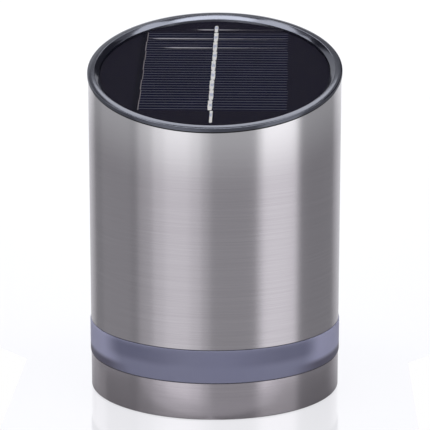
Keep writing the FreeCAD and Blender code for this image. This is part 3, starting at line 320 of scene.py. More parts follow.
# %% [markdown]
# ## The dark rim
#
# The rim is injection moulded and polished in the mould, so it mirrors the studio. What it mirrors
# depends on how its outline turns: a rounded edge, a crown that flattens towards a crest, and a
# roll down to the panel. The frame's facets are too few for that, so the lip is turned here in fine
# rings. Its crest is moved by up to 0.6 mm to follow the photograph. The spigot and everything else
# under the lip are carried over as they are.

# %% Turn the rim
LIP_OUTER, LIP_UNDER, OPENING = 55.4 * MM, 0.7 * MM, 50.2 * MM
EDGE_ROUND, EDGE_TOP, EDGE_SLOPE = 0.6 * MM, 2.15 * MM, 0.287
CREST_BACK, CREST_FRONT_SHIFT = 52.1 * MM, 0.9 * MM
ROLL_START_SLOPE, ROLL_SLOPE_GAIN = 0.60, 0.32
OPENING_FOOT = 0.6 * MM
EDGE_STEPS, CROWN_STEPS, ROLL_STEPS, RIM_ROUND = 8, 14, 12, 288


def on_slope(x, y, height):
    """A point over the cut, with its height counted straight up from it."""
    return (x, y, CUT_HEIGHT + y * math.tan(SLOPE) + height)


def rim_outline(frontness):
    """Radii and heights from under the lip, over edge, crown and roll, down to the panel."""
    lean = math.atan(EDGE_SLOPE)
    shoulder = LIP_OUTER - EDGE_ROUND * (1 - math.sin(lean))
    points = [(LIP_OUTER, LIP_UNDER)]
    for step in range(EDGE_STEPS + 1):
        turn = (math.pi / 2 - lean) * step / EDGE_STEPS
        points.append((LIP_OUTER - EDGE_ROUND * (1 - math.cos(turn)),
                       EDGE_TOP - EDGE_ROUND * (math.cos(lean) - math.sin(turn))))
    crest = CREST_BACK + CREST_FRONT_SHIFT * frontness ** 2
    crest_height = EDGE_TOP + EDGE_SLOPE * (shoulder - crest) / 2
    for step in range(1, CROWN_STEPS + 1):
        left = 1 - step / CROWN_STEPS
        points.append((crest + (shoulder - crest) * left,
                       crest_height - EDGE_SLOPE * (shoulder - crest) * left ** 2 / 2))
    for step in range(1, ROLL_STEPS + 1):
        done = step / ROLL_STEPS
        drop = ROLL_START_SLOPE * done + ROLL_SLOPE_GAIN * done ** 2 / 2
        points.append((crest - (crest - OPENING) * done, crest_height - (crest - OPENING) * drop))
    return points + [(OPENING, OPENING_FOOT)]


def carry_over(mesh, node, left_out):
    """Copy a frame node's faces, apart from those whose corners all pass a test."""
    old = NODES[node].data
    corners = [mesh.verts.new(vertex.co) for vertex in old.vertices]
    for face in old.polygons:
        if not left_out([old.vertices[index].co for index in face.vertices]):
            mesh.faces.new([corners[index] for index in face.vertices])
    loose = [corner for corner in corners if not corner.link_faces]
    bmesh.ops.delete(mesh, geom=loose, context="VERTS")


def on_lip(places):
    """Whether a face belongs to the lip's outside, which is turned anew."""
    slack = 0.01 * MM
    radii = [math.hypot(place.x, place.y) for place in places]
    heights = [place.z - on_slope(place.x, place.y, 0)[2] for place in places]
    above = min(radii) > OPENING - slack and min(heights) > OPENING_FOOT - slack
    return above and max(heights) > LIP_UNDER + slack


def round_slope(radius, turn, height):
    """A point over the cut, at an angle round the lamp's axis."""
    return on_slope(radius * math.cos(turn), radius * math.sin(turn), height)


def turned_rim():
    mesh = bmesh.new()
    carry_over(mesh, "top_bezel", on_lip)
    rings = []
    for corner in range(RIM_ROUND):
        turn = math.tau * corner / RIM_ROUND
        outline = rim_outline((1 - math.sin(turn)) / 2)
        rings.append([mesh.verts.new(round_slope(radius, turn, height))
                      for radius, height in outline])
    for before, after in zip(rings, rings[1:] + rings[:1]):
        for low in range(len(before) - 1):
            mesh.faces.new((before[low], after[low], after[low + 1], before[low + 1]))
    return piece_from(mesh, "turned_rim", "top_bezel")


rim = turned_rim()
print("rim faces:", len(rim.data.polygons))

# %% [markdown]
# The plastic isn't quite black: a dark blue-grey body colour shows between the reflections. Faint
# handling marks vary the gloss.

# %% Mix the rim's plastic
CLOUD_CELLS, GRAIN_CELLS = (60, 60, 60), (2600, 2600, 2600)
CLOUD_GAIN, CLOUD_LIFT, MARKS = 1.25, 0.003, 0.04
RIM_DEEP, RIM_PALE = (0.009, 0.009, 0.016, 1), (0.014, 0.014, 0.024, 1)


def moulded(name, colour, roughness, grain_height=0.0):
    """Moulded plastic: an even colour, slightly clouded, with the mould's grain as bump."""
    finish = Finish(name)
    cloud = finish.noise(CLOUD_CELLS, 3.0)
    grain = finish.noise(GRAIN_CELLS, 2.0, 0.6)
    lifted = tuple(min(1.0, part * CLOUD_GAIN + CLOUD_LIFT) for part in colour[:3]) + (1,)
    sockets = {"base_color": finish.blend(cloud, colour, lifted),
               "roughness": roughness + (cloud - 0.5) * MARKS + (grain - 0.5) * MARKS}
    if grain_height:
        sockets["normal"] = finish.bump(grain, grain_height)
    return finish.surface(**sockets)


def rim_plastic():
    """Polished plastic over a body colour that is nearly black."""
    finish = Finish("rim_plastic")
    cloud = finish.noise(CLOUD_CELLS, 3.0)
    return finish.surface(
        base_color=finish.blend(cloud, RIM_DEEP, RIM_PALE),
        roughness=0.13 + (cloud - 0.5) * 0.06,
        ior=1.8,
        specular_ior_level=1.0,
        specular_tint=(0.80, 0.84, 1.0, 1))


rim.data.materials.append(rim_plastic())
print("polished plastic on the rim")

# %% [markdown]
# ## The solar panel
#
# Eight strips of silicon lie side by side on a dark board under clear resin. Thin silver fingers
# run along each strip, four to a strip, and a tinned ribbon joins the strips up the middle. The
# panel leans back with the tube's cut, so places on it are counted along the slope.

# %% Mix the solar cells
UP_SLOPE = (0.0, math.cos(SLOPE), math.sin(SLOPE))
PANEL_START = CUT_HEIGHT * math.sin(SLOPE)
STRIP_PITCH = 9.6 * MM
FIRST_STRIP = -36.4 * MM
FINGER_PITCH = STRIP_PITCH / 4
FINGER_START = FIRST_STRIP + 0.2 * MM
CELLS_LEFT = -31.5 * MM
STRIP_COUNT, STRIP_SHIFT, EDGE_LINE = 8, 0.22 * MM, 0.42 * MM
FINGER_RISE = (0.38, 0.47)
SILICON_DEEP, SILICON_PALE = (0.001, 0.002, 0.018, 1), (0.003, 0.004, 0.027, 1)
FINGER_SILVER, EDGE_SILVER = (0.150, 0.150, 0.185, 1), (0.24, 0.22, 0.24, 1)
STRIP_SHIFT_SHARES = (0.0, 0.7, -0.4, 0.9, -0.2, 0.5, -0.6, 0.3)


def up_panel(finish):
    """Metres up the slope from the panel's middle."""
    return finish.along(UP_SLOPE, PANEL_START)


def across_panel(finish):
    return finish.along((1.0, 0.0, 0.0))


def solar_silicon():
    finish = Finish("solar_silicon")
    height, side = up_panel(finish), across_panel(finish)
    count = (height - FINGER_START) / FINGER_PITCH
    finger = finish.step(finish.ripple(count), *FINGER_RISE)
    cloud = finish.noise((90, 90, 90), 3.0)
    silicon = finish.blend(cloud, SILICON_DEEP, SILICON_PALE)
    lined = finish.blend(finger * (0.7 + cloud * 0.4), silicon, FINGER_SILVER)
    share = (height - FIRST_STRIP) / (STRIP_COUNT * STRIP_PITCH)
    levels = [(shift + 1) / 2 for shift in STRIP_SHIFT_SHARES]
    ramp = finish.node("ShaderNodeValToRGB", {"stops": levels}, {"Fac": share})
    shift = Signal(ramp.outputs["Color"])
    from_edge = side - CELLS_LEFT - (shift * 2 - 1) * STRIP_SHIFT
    off_line = finish.spread(from_edge - EDGE_LINE / 2)
    edge_line = 1 - finish.step(off_line, EDGE_LINE * 0.35, EDGE_LINE * 0.6)
    return finish.surface(
        base_color=finish.blend(edge_line, lined, EDGE_SILVER),
        roughness=0.45 + (cloud - 0.5) * 0.1,
        specular_ior_level=0.02)


dress(solar_silicon(), "solar_cells")
print("silicon with fingers every", round(FINGER_PITCH / MM, 2), "mm")

# %% [markdown]
# ### The soldered ribbons
#
# Solder wets the ribbon unevenly: it swells where a finger crosses and draws in between, and its
# ends are round. A flat strip can't show that, so the ribbons get a mesh of their own. Each is a
# row of low arches whose width follows a formula, over a flat underside.

# %% Solder the ribbons
PANEL_LIFT = 0.03 * MM
RIBBON_SIDE, RIBBON_HALF, RIBBON_HIGH = -0.7 * MM, 1.0 * MM, 0.2 * MM
RIBBON_INSET = 0.05 * MM
TOP_LEAD = (40.78 * MM, 47.5 * MM, 0.86 * MM, 0.0)
LOW_LEAD = (-47.78 * MM, -36.78 * MM, 0.68 * MM, 0.45 * MM)
RIBBON_WANDER = (-0.30, -0.10, -0.18, 0.05, -0.08, 0.10, 0.0, 0.08)
ARCH_STEPS, ROW_LENGTH = 8, 0.2 * MM
BEAD_LENGTH, FINE_ROWS = 4.8 * MM, 7
MEAN_WIDTH, BEAD_SWELL, FINE_SWELL = 0.93, 0.05, 0.02
TIP_WIDTH_SQUARED, TIP_CREST = 0.04, 0.1


def on_panel(side, up, height):
    """A point of the panel, counted across it, up its slope and off its surface."""
    return (side, up * math.cos(SLOPE) - height * math.sin(SLOPE),
            CUT_HEIGHT + PANEL_LIFT + up * math.sin(SLOPE) + height * math.cos(SLOPE))


def ribbon_half(up, low, high, half):
    """Half the ribbon's width at a place: round ends and gentle swellings."""
    from_end = min(up - low, high - up, half)
    rounded = math.sqrt(max(TIP_WIDTH_SQUARED, 1 - (1 - from_end / half) ** 2))
    bead = BEAD_SWELL * math.sin(math.tau * up / BEAD_LENGTH)
    fine = FINE_SWELL * math.sin(math.tau * up / ROW_LENGTH / FINE_ROWS)
    return half * rounded * (MEAN_WIDTH + bead + fine)


def add_ribbon(mesh, low, high, half, shift):
    """One ribbon of arched rows between two places on the slope."""
    count = round((high - low) / ROW_LENGTH)
    rows = []
    for row in range(count + 1):
        up = low + (high - low) * row / count
        reach = ribbon_half(up, low, high, half)
        turns = [math.pi * step / ARCH_STEPS for step in range(ARCH_STEPS + 1)]
        crest = RIBBON_HIGH * min(1.0, reach / half + TIP_CREST)
        rows.append([mesh.verts.new(on_panel(RIBBON_SIDE + shift - reach * math.cos(turn), up,
                                             crest * math.sin(turn) ** 0.5))
                     for turn in turns])
    for before, after in zip(rows, rows[1:]):
        for step in range(ARCH_STEPS):
            mesh.faces.new((before[step], before[step + 1], after[step + 1], after[step]))
        mesh.faces.new((before[-1], before[0], after[0], after[-1]))
    mesh.faces.new(rows[0])
    mesh.faces.new(rows[-1])


def soldered(name, runs, node):
    mesh = bmesh.new()
    for run in runs:
        add_ribbon(mesh, *run)
    bmesh.ops.recalc_face_normals(mesh, faces=mesh.faces)
    return piece_from(mesh, name, node)


strip_starts = [FIRST_STRIP + index * STRIP_PITCH for index in range(STRIP_COUNT)]
cell_runs = [(start + RIBBON_INSET, start + STRIP_PITCH - RIBBON_INSET, RIBBON_HALF, wander * MM)
             for start, wander in zip(strip_starts, RIBBON_WANDER)]
cell_solder = soldered("soldered_cell_ribbons", cell_runs, "cell_ribbons")
lead_solder = soldered("soldered_lead_ribbons", [TOP_LEAD, LOW_LEAD], "lead_ribbons")
print("ribbon faces:", len(cell_solder.data.polygons) + len(lead_solder.data.polygons))

# %% Mix the ribbon's tin
DULL_RISE = (0.30, 0.44)
TIN, WARM_TIN, DULL_TIN = (0.93, 0.92, 0.93, 1), (0.98, 0.96, 0.93, 1), (0.56, 0.62, 0.80, 1)
SPOT_WANDER = 4.0 * MM


def tinned_copper():
    """Bright tin with a dull blue spot wherever the iron was held."""
    finish = Finish("tinned_copper")
    spots = finish.noise((520, 420, 420), 2.0, 0.7)
    count = (up_panel(finish) - FIRST_STRIP + (spots - 0.5) * SPOT_WANDER) / STRIP_PITCH
    ragged = across_panel(finish) - RIBBON_SIDE + (spots - 0.5) * 1.0 * MM
    off_centre = finish.spread(ragged) / RIBBON_HALF
    dull = finish.step(finish.ripple(count), *DULL_RISE) * (1 - finish.step(off_centre, 0.50, 1.0))
    bright = finish.blend(finish.step(spots, 0.35, 0.65), TIN, WARM_TIN)
    return finish.surface(
        base_color=finish.blend(dull, bright, DULL_TIN),
        roughness=0.30 + dull * 0.2,
        ior=1.9,
        normal=finish.bump(spots, 0.06 * MM))


tin = tinned_copper()
for piece in (cell_solder, lead_solder):
    piece.data.materials.append(tin)
print("tin on the ribbons")

# %% [markdown]
# ### The resin over the cells
#
# Clear resin only adds a thin gloss and a slight haze, so most of it must be see-through. A small
# Alpha does that and costs the renderer much less than real refraction. Along the edges of three
# strips a fine pale streak is painted in as a glint, a painted highlight that fades out at both
# ends.

# %% Pour the resin
RESIN_RADIUS = 49.98 * MM
SKIN_LOW, SKIN_DEPTH = 0.27 * MM, 0.26 * MM
CREEP_WIDTH, CREEP_HEIGHT = 1.6 * MM, 0.02 * MM
SKIN_ROUND, SKIN_RINGS = 192, 24


def skin_face(mesh, heights):
    """Rings of corners from the middle outwards, joined to one face of the skin."""
    middle = mesh.verts.new(on_slope(0, 0, heights(0)))
    turns = [math.tau * corner / SKIN_ROUND for corner in range(SKIN_ROUND)]
    rings = []
    for step in range(1, SKIN_RINGS + 1):
        radius = RESIN_RADIUS * math.sin(math.pi / 2 * step / SKIN_RINGS)
        rings.append([mesh.verts.new(round_slope(radius, turn, heights(radius))) for turn in turns])
    for corner in range(SKIN_ROUND):
        following = (corner + 1) % SKIN_ROUND
        mesh.faces.new((middle, rings[0][corner], rings[0][following]))
        for inner, outer in zip(rings, rings[1:]):
            mesh.faces.new((inner[corner], outer[corner], outer[following], inner[following]))
    return rings[-1]


def poured_resin():
    """The resin above the ribbons: level in the middle, drawn up a little along the rim."""
    def top(radius):
        creep = max(0.0, 1 - (RESIN_RADIUS - radius) / CREEP_WIDTH)
        return SKIN_LOW + SKIN_DEPTH + CREEP_HEIGHT * creep ** 2
    mesh = bmesh.new()
    upper = skin_face(mesh, top)
    lower = skin_face(mesh, lambda radius: SKIN_LOW)
    for corner in range(SKIN_ROUND):
        following = (corner + 1) % SKIN_ROUND
        mesh.faces.new((upper[corner], lower[corner], lower[following], upper[following]))
    bmesh.ops.recalc_face_normals(mesh, faces=mesh.faces)
    return piece_from(mesh, "poured_resin", "panel_resin")


print("the resin's skin has", SKIN_RINGS, "rings on each face")

# %% Mix the clear resin
OFF_SLOPE = (0.0, -math.sin(SLOPE), math.cos(SLOPE))
PAINTED_GLINTS = ((42.4, -15, -5, 19), (33.0, -34, -25, 36), (23.6, -30, -18, 36))
GLINT_HALF, GLINT_FADE, GLINT_LEAST = 1.0 * MM, 0.6, 0.02
GLINTS_END = (29.5 * MM, 31.5 * MM)
RESIN_DARK, GLINT_PALE = (0.012, 0.012, 0.020, 1), (0.36, 0.35, 0.40, 1)
RESIN_HAZE, GLINT_ALPHA = 0.07, 0.80


def painted_glint(finish, height, left, middle, right):
    """A painted glint: a fine pale line across the panel, brightest in its middle."""
    up, side = up_panel(finish), across_panel(finish)
    growing = finish.step(side, left * MM, middle * MM)
    fading = 1 - finish.step(side, middle * MM, right * MM) * GLINT_FADE
    width = finish.spread(up - height * MM) / (growing * fading + GLINT_LEAST)
    line = 1 - finish.step(width, GLINT_HALF * 0.3, GLINT_HALF)
    inside = 1 - finish.step(side, *GLINTS_END)
    return line * growing * fading * inside


def clear_resin():
    finish = Finish("clear_resin")
    ripple = finish.noise((120, 120, 120), 2.0)
    # Painted highlight: pale glint lines along three strip edges, on the skin's top face only and
    # kept off the ribbon.
    glints = painted_glint(finish, *PAINTED_GLINTS[0])
    for place in PAINTED_GLINTS[1:]:
        glints = glints + painted_glint(finish, *place)
    above = finish.along(OFF_SLOPE, CUT_HEIGHT * math.cos(SLOPE))
    from_ribbon = finish.spread(across_panel(finish) - RIBBON_SIDE)
    on_top = finish.step(above, SKIN_LOW + SKIN_DEPTH * 0.4, SKIN_LOW + SKIN_DEPTH * 0.7)
    glints = glints * on_top * finish.step(from_ribbon, RIBBON_HALF, RIBBON_HALF * 1.3)
    return finish.surface(
        base_color=finish.blend(glints, RESIN_DARK, GLINT_PALE),
        roughness=0.36 + (ripple - 0.5) * 0.08,
        specular_ior_level=0.07,
        alpha=RESIN_HAZE + (ripple - 0.5) * 0.02 + glints * GLINT_ALPHA,
        normal=finish.bump(ripple, 0.02 * MM))


resin_skin = poured_resin()
resin_skin.data.materials.append(clear_resin())
print("resin on the panel:", resin_skin.name)

# %% Mix the dark board
EDGE_SHADE_FROM, EDGE_SHADE_FULL, EDGE_SHADE_FADE = 2.6 * MM, 2.1 * MM, 0.5 * MM
BOARD_DEEP, BOARD_PALE = (0.006, 0.005, 0.015, 1), (0.008, 0.006, 0.019, 1)
EDGE_SHADE_BLUE = (0.001, 0.001, 0.008, 1)


def panel_board():
    """Black laminate, with painted shade in a darker, bluer band along the cells' left edge."""
    finish = Finish("panel_board")
    cloud = finish.noise((70, 70, 70), 3.0)
    side = across_panel(finish)
    # Painted shade: a darker band on the board just left of the cells.
    reached = finish.step(side, CELLS_LEFT - EDGE_SHADE_FROM, CELLS_LEFT - EDGE_SHADE_FULL)
    edge_shade = reached * (1 - finish.step(side, CELLS_LEFT, CELLS_LEFT + EDGE_SHADE_FADE))
    board = finish.blend(cloud, BOARD_DEEP, BOARD_PALE)
    return finish.surface(
        base_color=finish.blend(edge_shade, board, EDGE_SHADE_BLUE),
        roughness=0.6 + (cloud - 0.5) * 0.1,
        specular_ior_level=0.05)


dress(panel_board(), "panel_backing")
print("dark laminate behind the cells")

# %% [markdown]
# ## The frosted light ring
#
# The ring is a milky tube, bead blasted outside. Its colour holds painted light and shade: painted
# light on its ends at the sides, painted shade in a band across its upper part away from the
# middle, and low dark crescents of painted shade at both sides. Low, wide noise makes those patches
# uneven.
# A little subsurface softens its edges.

# %% Mix frosted plastic
RING_BOTTOM, RING_HEIGHT = 16.3 * MM, 14.5 * MM
SIDE_LIGHT_SPAN, LOW_SHADE_SPAN, OFF_MIDDLE = (38 * MM, 47 * MM), (34 * MM, 46 * MM), (4 * MM, 34 * MM)
LOW_SHADE_RISE, UPPER_BAND, UPPER_MIDDLE = (0.16, 0.34), (0.10, 0.34), 0.72
MILKY, MILKY_SIDE_LIGHT = (0.300, 0.305, 0.455, 1), (0.495, 0.495, 0.710, 1)
SHADED, LOW_SIDE_SHADE = (0.138, 0.142, 0.242, 1), (0.085, 0.075, 0.120, 1)


def frosted_plastic():
    finish = Finish("frosted_plastic")
    patches = finish.noise((28, 28, 45), 2.0)
    fog = finish.noise((160, 160, 160), 3.0)
    speckle = finish.noise((3000, 3000, 3000), 2.0)
    share = finish.along((0.0, 0.0, 1.0), RING_BOTTOM) / RING_HEIGHT
    side = finish.spread(finish.along((1.0, 0.0, 0.0)))
    # Painted light: lighter towards the ring's ends at the sides.
    side_light = finish.step(side + (patches - 0.5) * 8 * MM, *SIDE_LIGHT_SPAN)
    from_upper = finish.spread(share - UPPER_MIDDLE + (patches - 0.5) * 0.2)
    upper = 1 - finish.step(from_upper, *UPPER_BAND)
    # Painted shade: a darker band across the upper part, away from the middle.
    shade = upper * (0.10 + finish.step(side, *OFF_MIDDLE) * 0.50) * (1 - side_light)
    # Painted shade: dark crescents low down at both sides.
    low_side_shade = (1 - finish.step(share, *LOW_SHADE_RISE)) * finish.step(side, *LOW_SHADE_SPAN)
    milky = finish.blend(side_light, MILKY, MILKY_SIDE_LIGHT)
    shaded = finish.blend(shade + fog * 0.10, milky, SHADED)
    return finish.surface(
        base_color=finish.blend(low_side_shade * 0.85, shaded, LOW_SIDE_SHADE),
        roughness=0.44 + (fog - 0.5) * 0.12,
        subsurface_weight=0.15,
        subsurface_radius=(2.5 * MM, 2.5 * MM, 3.0 * MM),
        subsurface_scale=1.0,
        specular_ior_level=0.5,
        normal=finish.bump(speckle, 0.01 * MM))


dress(frosted_plastic(), "light_ring")
print("frosted plastic on the ring")

# %% [markdown]
# ## The plainer materials
#
# What is left is moulded plastic in several colours, rubber, zinc-plated steel and small
# electronics. One recipe with other numbers does each.

# %% Dress the remaining nodes
housing_black = moulded("housing_black", (0.018, 0.018, 0.020, 1), 0.52, 0.012 * MM)
dress(housing_black, "base_housing", "housing_cover", "battery_door", "mount_block", "switch_body")
rubber = moulded("seal_rubber", (0.012, 0.012, 0.014, 1), 0.72, 0.010 * MM)
dress(rubber, "bezel_seal", "door_seal", "mount_gasket", "wire_grommet", "panel_adhesive")
dress(moulded("ring_silicone", (0.085, 0.083, 0.105, 1), 0.50, 0.006 * MM),
      "lower_ring_seal", "upper_ring_seal")
dress(moulded("white_plastic", (0.78, 0.78, 0.77, 1), 0.40, 0.006 * MM), "reflector")
dress(moulded("strip_film", (0.74, 0.74, 0.70, 1), 0.45), "led_strip")
dress(moulded("led_phosphor", (0.80, 0.62, 0.12, 1), 0.30), "leds")
dress(moulded("green_board", (0.012, 0.120, 0.045, 1), 0.28), "control_board")
dress(moulded("black_component", (0.020, 0.020, 0.022, 1), 0.45, 0.006 * MM), "board_parts")
dress(moulded("cell_sleeve", (0.050, 0.190, 0.075, 1), 0.25), "battery_cells")
dress(moulded("lock_grey", (0.12, 0.12, 0.125, 1), 0.42, 0.008 * MM), "door_lock")
dress(moulded("knob_grey", (0.36, 0.36, 0.37, 1), 0.45, 0.008 * MM), "switch_knob")
dress(moulded("wire_sheath", (0.28, 0.012, 0.012, 1), 0.40),
      "panel_wires", "battery_wires", "led_wires")

plated = brushed_steel("plated_steel", (0.72, 0.72, 0.73, 1), (0.60, 0.60, 0.62, 1), 0.24, 0.2)
dress(plated, "cover_screws", "tie_rods", "board_screws", "contact_plates", "contact_springs",
      "hinge_pins", "lock_spring_bar", "mount_screws", "lock_screw")
dress(brushed_steel("bracket_steel", (0.64, 0.63, 0.64, 1), (0.54, 0.53, 0.54, 1), 0.34, 0.4),
      "wall_bracket")
print("every node is dressed")

# %% [markdown]
# ## The studio
#
# A polished cylinder shows its whole surroundings squeezed into upright bands, so the studio is
# laid out from those bands. A tall softbox stands left of the camera, a narrower one to the right,
# and between them it is dim. A softbox is brighter in its middle than at its edges: here each one
# is a few lamps of different widths on top of each other, whose light adds up. A dim one fills the
# front, two more stand at the left and behind on the left, and others hang overhead.
#
# A lamp is described by the stretch of sky that it covers, seen from the object, and by how bright
# it looks. Its real size and power follow from its distance.

# %% Light the lamp
AIM = Vector((0, 0, 0.08))
LAMP_DISTANCE = 2.2


def area_lamp(name, place, facing, width, height, brightness):
    """A rectangle of light that looks equally bright from everywhere in front of it."""
    data = bpy.data.lights.new(name, "AREA")
    data.shape = "RECTANGLE"
    data.size, data.size_y = width, height
    data.energy = brightness * math.pi * width * height
    lamp = bpy.data.objects.new(name, data)
    lamp.location = place
    lamp.rotation_mode = "QUATERNION"
    lamp.rotation_quaternion = facing.to_track_quat("Z", "Y")
    lamp.visible_camera = False
    bpy.context.scene.collection.objects.link(lamp)


def softbox(name, azimuths, elevations, brightness):
    """A lamp between two azimuths and two elevations, in degrees from the camera's side."""
    azimuth = math.radians(sum(azimuths) / 2)
    elevation = math.radians(sum(elevations) / 2)
    away = Vector((math.sin(azimuth) * math.cos(elevation),
                   -math.cos(azimuth) * math.cos(elevation), math.sin(elevation)))
    width, height = (2 * LAMP_DISTANCE * math.tan(math.radians(span[1] - span[0]) / 2)
                     for span in (azimuths, elevations))
    area_lamp(name, AIM + away * LAMP_DISTANCE, away, width, height, brightness)


SOFTBOXES = {
    "left_wide": ((-72, -2), (-34, 40), 0.17),
    "left_middle": ((-56, -10), (-34, 40), 0.20),
    "left_core": ((-44, -20), (-34, 40), 0.12),
    "right_wide": ((40, 85), (-34, 40), 0.30),
    "right_core": ((45, 81), (-34, 40), 0.31),
    "front_fill": ((-80, 92), (-34, 30), 0.09),
    "left_fill": ((-122, -80), (-34, 30), 0.05),
    "left_behind": ((-170, -120), (8, 40), 0.35),
}
for name, (azimuths, elevations, brightness) in SOFTBOXES.items():
    softbox(name, azimuths, elevations, brightness)
print("softboxes:", len(SOFTBOXES))

# %% [markdown]
# The rim's rolled-in edge mirrors what hangs overhead. Straight above hangs the brightest box, with
# two dimmer ones to each side of it, which draw the crescent out to its tips. One more hangs
# behind, and the front of the rim shows it as a pale line.

# %% Hang the lamps overhead
HANGING_HEIGHT = 1.58
HANGING = {
    "over_middle": ((0.0, -0.29), (0.90, 0.36), 4.2),
    "over_left": ((-0.72, -0.08), (0.54, 0.74), 2.4),
    "over_right": ((0.72, -0.08), (0.54, 0.74), 2.4),
    "over_far_left": ((-1.34, 0.52), (0.62, 0.90), 1.5),
    "over_far_right": ((1.37, 0.42), (0.46, 0.66), 1.2),
    "over_back": ((-0.05, 1.03), (0.92, 0.84), 1.8),
}
for name, (middle, size, brightness) in HANGING.items():
    area_lamp(name, Vector((*middle, HANGING_HEIGHT)), Vector((0, 0, 1)), *size, brightness)
print("hanging lamps:", len(HANGING))

# %% [markdown]
# The world lights everything a little. For the camera it is plain white, so every side of the lamp
# is seen before a white ground.

# %% Set the world
AIR_STRENGTH = 0.29


def light_world():
    world = bpy.data.worlds.new("studio_air")
    bpy.context.scene.world = world
    world.use_nodes = True
    nodes, links = world.node_tree.nodes, world.node_tree.links
    nodes.clear()
    seen = nodes.new("ShaderNodeLightPath")
    air = nodes.new("ShaderNodeBackground")
    air.inputs["Color"].default_value = (0.96, 0.97, 1.0, 1)
    air.inputs["Strength"].default_value = AIR_STRENGTH
    white = nodes.new("ShaderNodeBackground")
    white.inputs["Color"].default_value = grey(1)
    white.inputs["Strength"].default_value = 1.0
    mix = nodes.new("ShaderNodeMixShader")
    out = nodes.new("ShaderNodeOutputWorld")
    links.new(seen.outputs["Is Camera Ray"], mix.inputs[0])
    links.new(air.outputs[0], mix.inputs[1])
    links.new(white.outputs[0], mix.inputs[2])
    links.new(mix.outputs[0], out.inputs["Surface"])


light_world()
bpy.context.scene.view_settings.view_transform = "Standard"
print("world strength", AIR_STRENGTH, "and white for the camera")

# %% [markdown]
# The floor is a pale table top that widens towards the backdrop. Both glow just enough for the
# camera and for mirrors to come out white. The table ends soon in front of the lamp, because steel
# would mirror it as one broad white glare. It is slightly glossy, so the lamp's foot is mirrored
# faintly under it. From below it is clear, so that the battery door can be looked at, and it lies a
# hair under the lamp.

# %% Lay the floor and hang the backdrop
PAPER, PAPER_GLOW = grey(0.24), (0.962, 0.965, 1.0, 1)
GLOW_REACH, GLOW_START, FRONT_GLOW = 1.5, 0.06, 0.35
BEHIND_FROM, BEHIND_FULL = -0.03, 0.0


def sheet(name, corners, material):
    """A flat sheet of the studio with the given corners."""
    mesh = bpy.data.meshes.new(name)
    mesh.from_pydata(corners, [], [tuple(range(len(corners)))])
    mesh.materials.append(material)
    made = bpy.data.objects.new(name, mesh)
    bpy.context.scene.collection.objects.link(made)


def paper(name, roughness, ior, glow, mirrored):
    """Pale paper that glows for the camera, and as asked for in mirrors and clear pieces."""
    finish = Finish(name)
    rays = finish.node("ShaderNodeLightPath").outputs
    across, back = finish.along((1.0, 0.0, 0.0)), finish.along((0.0, 1.0, 0.0))
    # What mirrors see of the glow carries painted shade: it fades outside a wedge that widens
    # backwards and drops to about a third in front of the lamp.
    off_middle = finish.spread(across) / (back + GLOW_START)
    behind_lamp = finish.step(back, BEHIND_FROM, BEHIND_FULL)
    painted_front_shade = FRONT_GLOW + behind_lamp * (1 - FRONT_GLOW)
    share = (1 - finish.step(off_middle, 0.0, GLOW_REACH)) * painted_front_shade
    indirect = Signal(rays["Is Glossy Ray"]) + Signal(rays["Is Transmission Ray"])
    seen = Signal(rays["Is Camera Ray"]) * glow + indirect * share * mirrored
    paper_shader = finish.node("ShaderNodeBsdfPrincipled", None,
                               {"Base Color": PAPER, "Roughness": roughness, "IOR": ior})
    light = finish.node("ShaderNodeEmission", None, {"Color": PAPER_GLOW, "Strength": seen})
    both = finish.node("ShaderNodeAddShader", None,
                       {0: paper_shader.outputs[0], 1: light.outputs[0]})
    behind = finish.node("ShaderNodeNewGeometry").outputs["Backfacing"]
    clear = finish.node("ShaderNodeBsdfTransparent")
    one_sided = finish.node("ShaderNodeMixShader", None,
                            {0: behind, 1: both.outputs[0], 2: clear.outputs[0]})
    finish.node("ShaderNodeOutputMaterial", None, {"Surface": one_sided.outputs[0]})
    return finish.material


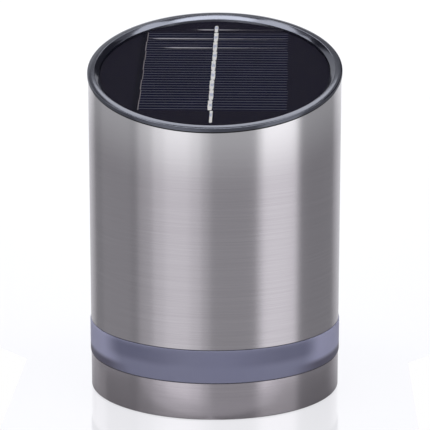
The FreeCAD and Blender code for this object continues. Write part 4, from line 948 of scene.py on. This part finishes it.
FLOOR_HALF, FLOOR_FRONT, FLOOR_WIDENS, FLOOR_BACK = 0.088, -0.076, 0.03, 1.7
BACKDROP_HALF, BACKDROP_TOP = 1.5, 0.95
FLOOR_LEVEL = -0.02 * MM
FLOOR_OUTLINE = (
    (-FLOOR_HALF, FLOOR_FRONT), (FLOOR_HALF, FLOOR_FRONT), (FLOOR_HALF, FLOOR_WIDENS),
    (BACKDROP_HALF, FLOOR_BACK), (-BACKDROP_HALF, FLOOR_BACK), (-FLOOR_HALF, FLOOR_WIDENS))
BACKDROP_OUTLINE = ((-BACKDROP_HALF, 0), (BACKDROP_HALF, 0),
                    (BACKDROP_HALF, BACKDROP_TOP), (-BACKDROP_HALF, BACKDROP_TOP))

floor_paper = paper("floor_paper", roughness=0.08, ior=2.8, glow=0.66, mirrored=0.42)
sheet("floor", [(x, y, FLOOR_LEVEL) for x, y in FLOOR_OUTLINE], floor_paper)
backdrop_paper = paper("backdrop_paper", roughness=0.6, ior=1.3, glow=1.06, mirrored=0.6)
sheet("backdrop", [(x, FLOOR_BACK, z) for x, z in BACKDROP_OUTLINE], backdrop_paper)
print("floor and backdrop are up")

# %% [markdown]
# Behind on the right stands a black card that the camera doesn't see. The rim's rolled edge on the
# left mirrors it, so it stays dark there, as on the photograph. The card has a raised middle, and
# only that part hangs on the left too, because the roll on the right is dark on a short stretch
# only. The card ends well above the floor, whose gloss would show it in the foot band otherwise.

# %% Stand up the black cards
CARD_NEAR, CARD_FAR = Vector((1.15, 0.30)), Vector((0.35, 1.15))
CARD_LOW, CARD_HIGH, CARD_RAISED = 0.50, 1.05, 1.45
RAISED_FROM, RAISED_TO = 0.24, 0.68


def on_card(share, height, side=1):
    """A point of a card: its share of the way from the near end to the far one, and its height."""
    place = CARD_NEAR.lerp(CARD_FAR, share)
    return (side * place.x, place.y, height)


card_black = moulded("black_card_paper", (0.004, 0.004, 0.004, 1), 0.8)
raised = ((RAISED_TO, CARD_HIGH), (RAISED_TO, CARD_RAISED),
          (RAISED_FROM, CARD_RAISED), (RAISED_FROM, CARD_HIGH))
outline = ((0, CARD_LOW), (1, CARD_LOW), (1, CARD_HIGH), *raised, (0, CARD_HIGH))
sheet("black_card", [on_card(*corner) for corner in outline], card_black)
sheet("high_black_card", [on_card(*corner, side=-1) for corner in raised], card_black)
for name in ("black_card", "high_black_card"):
    bpy.data.objects[name].visible_camera = False
print("black cards up to", CARD_RAISED, "m")
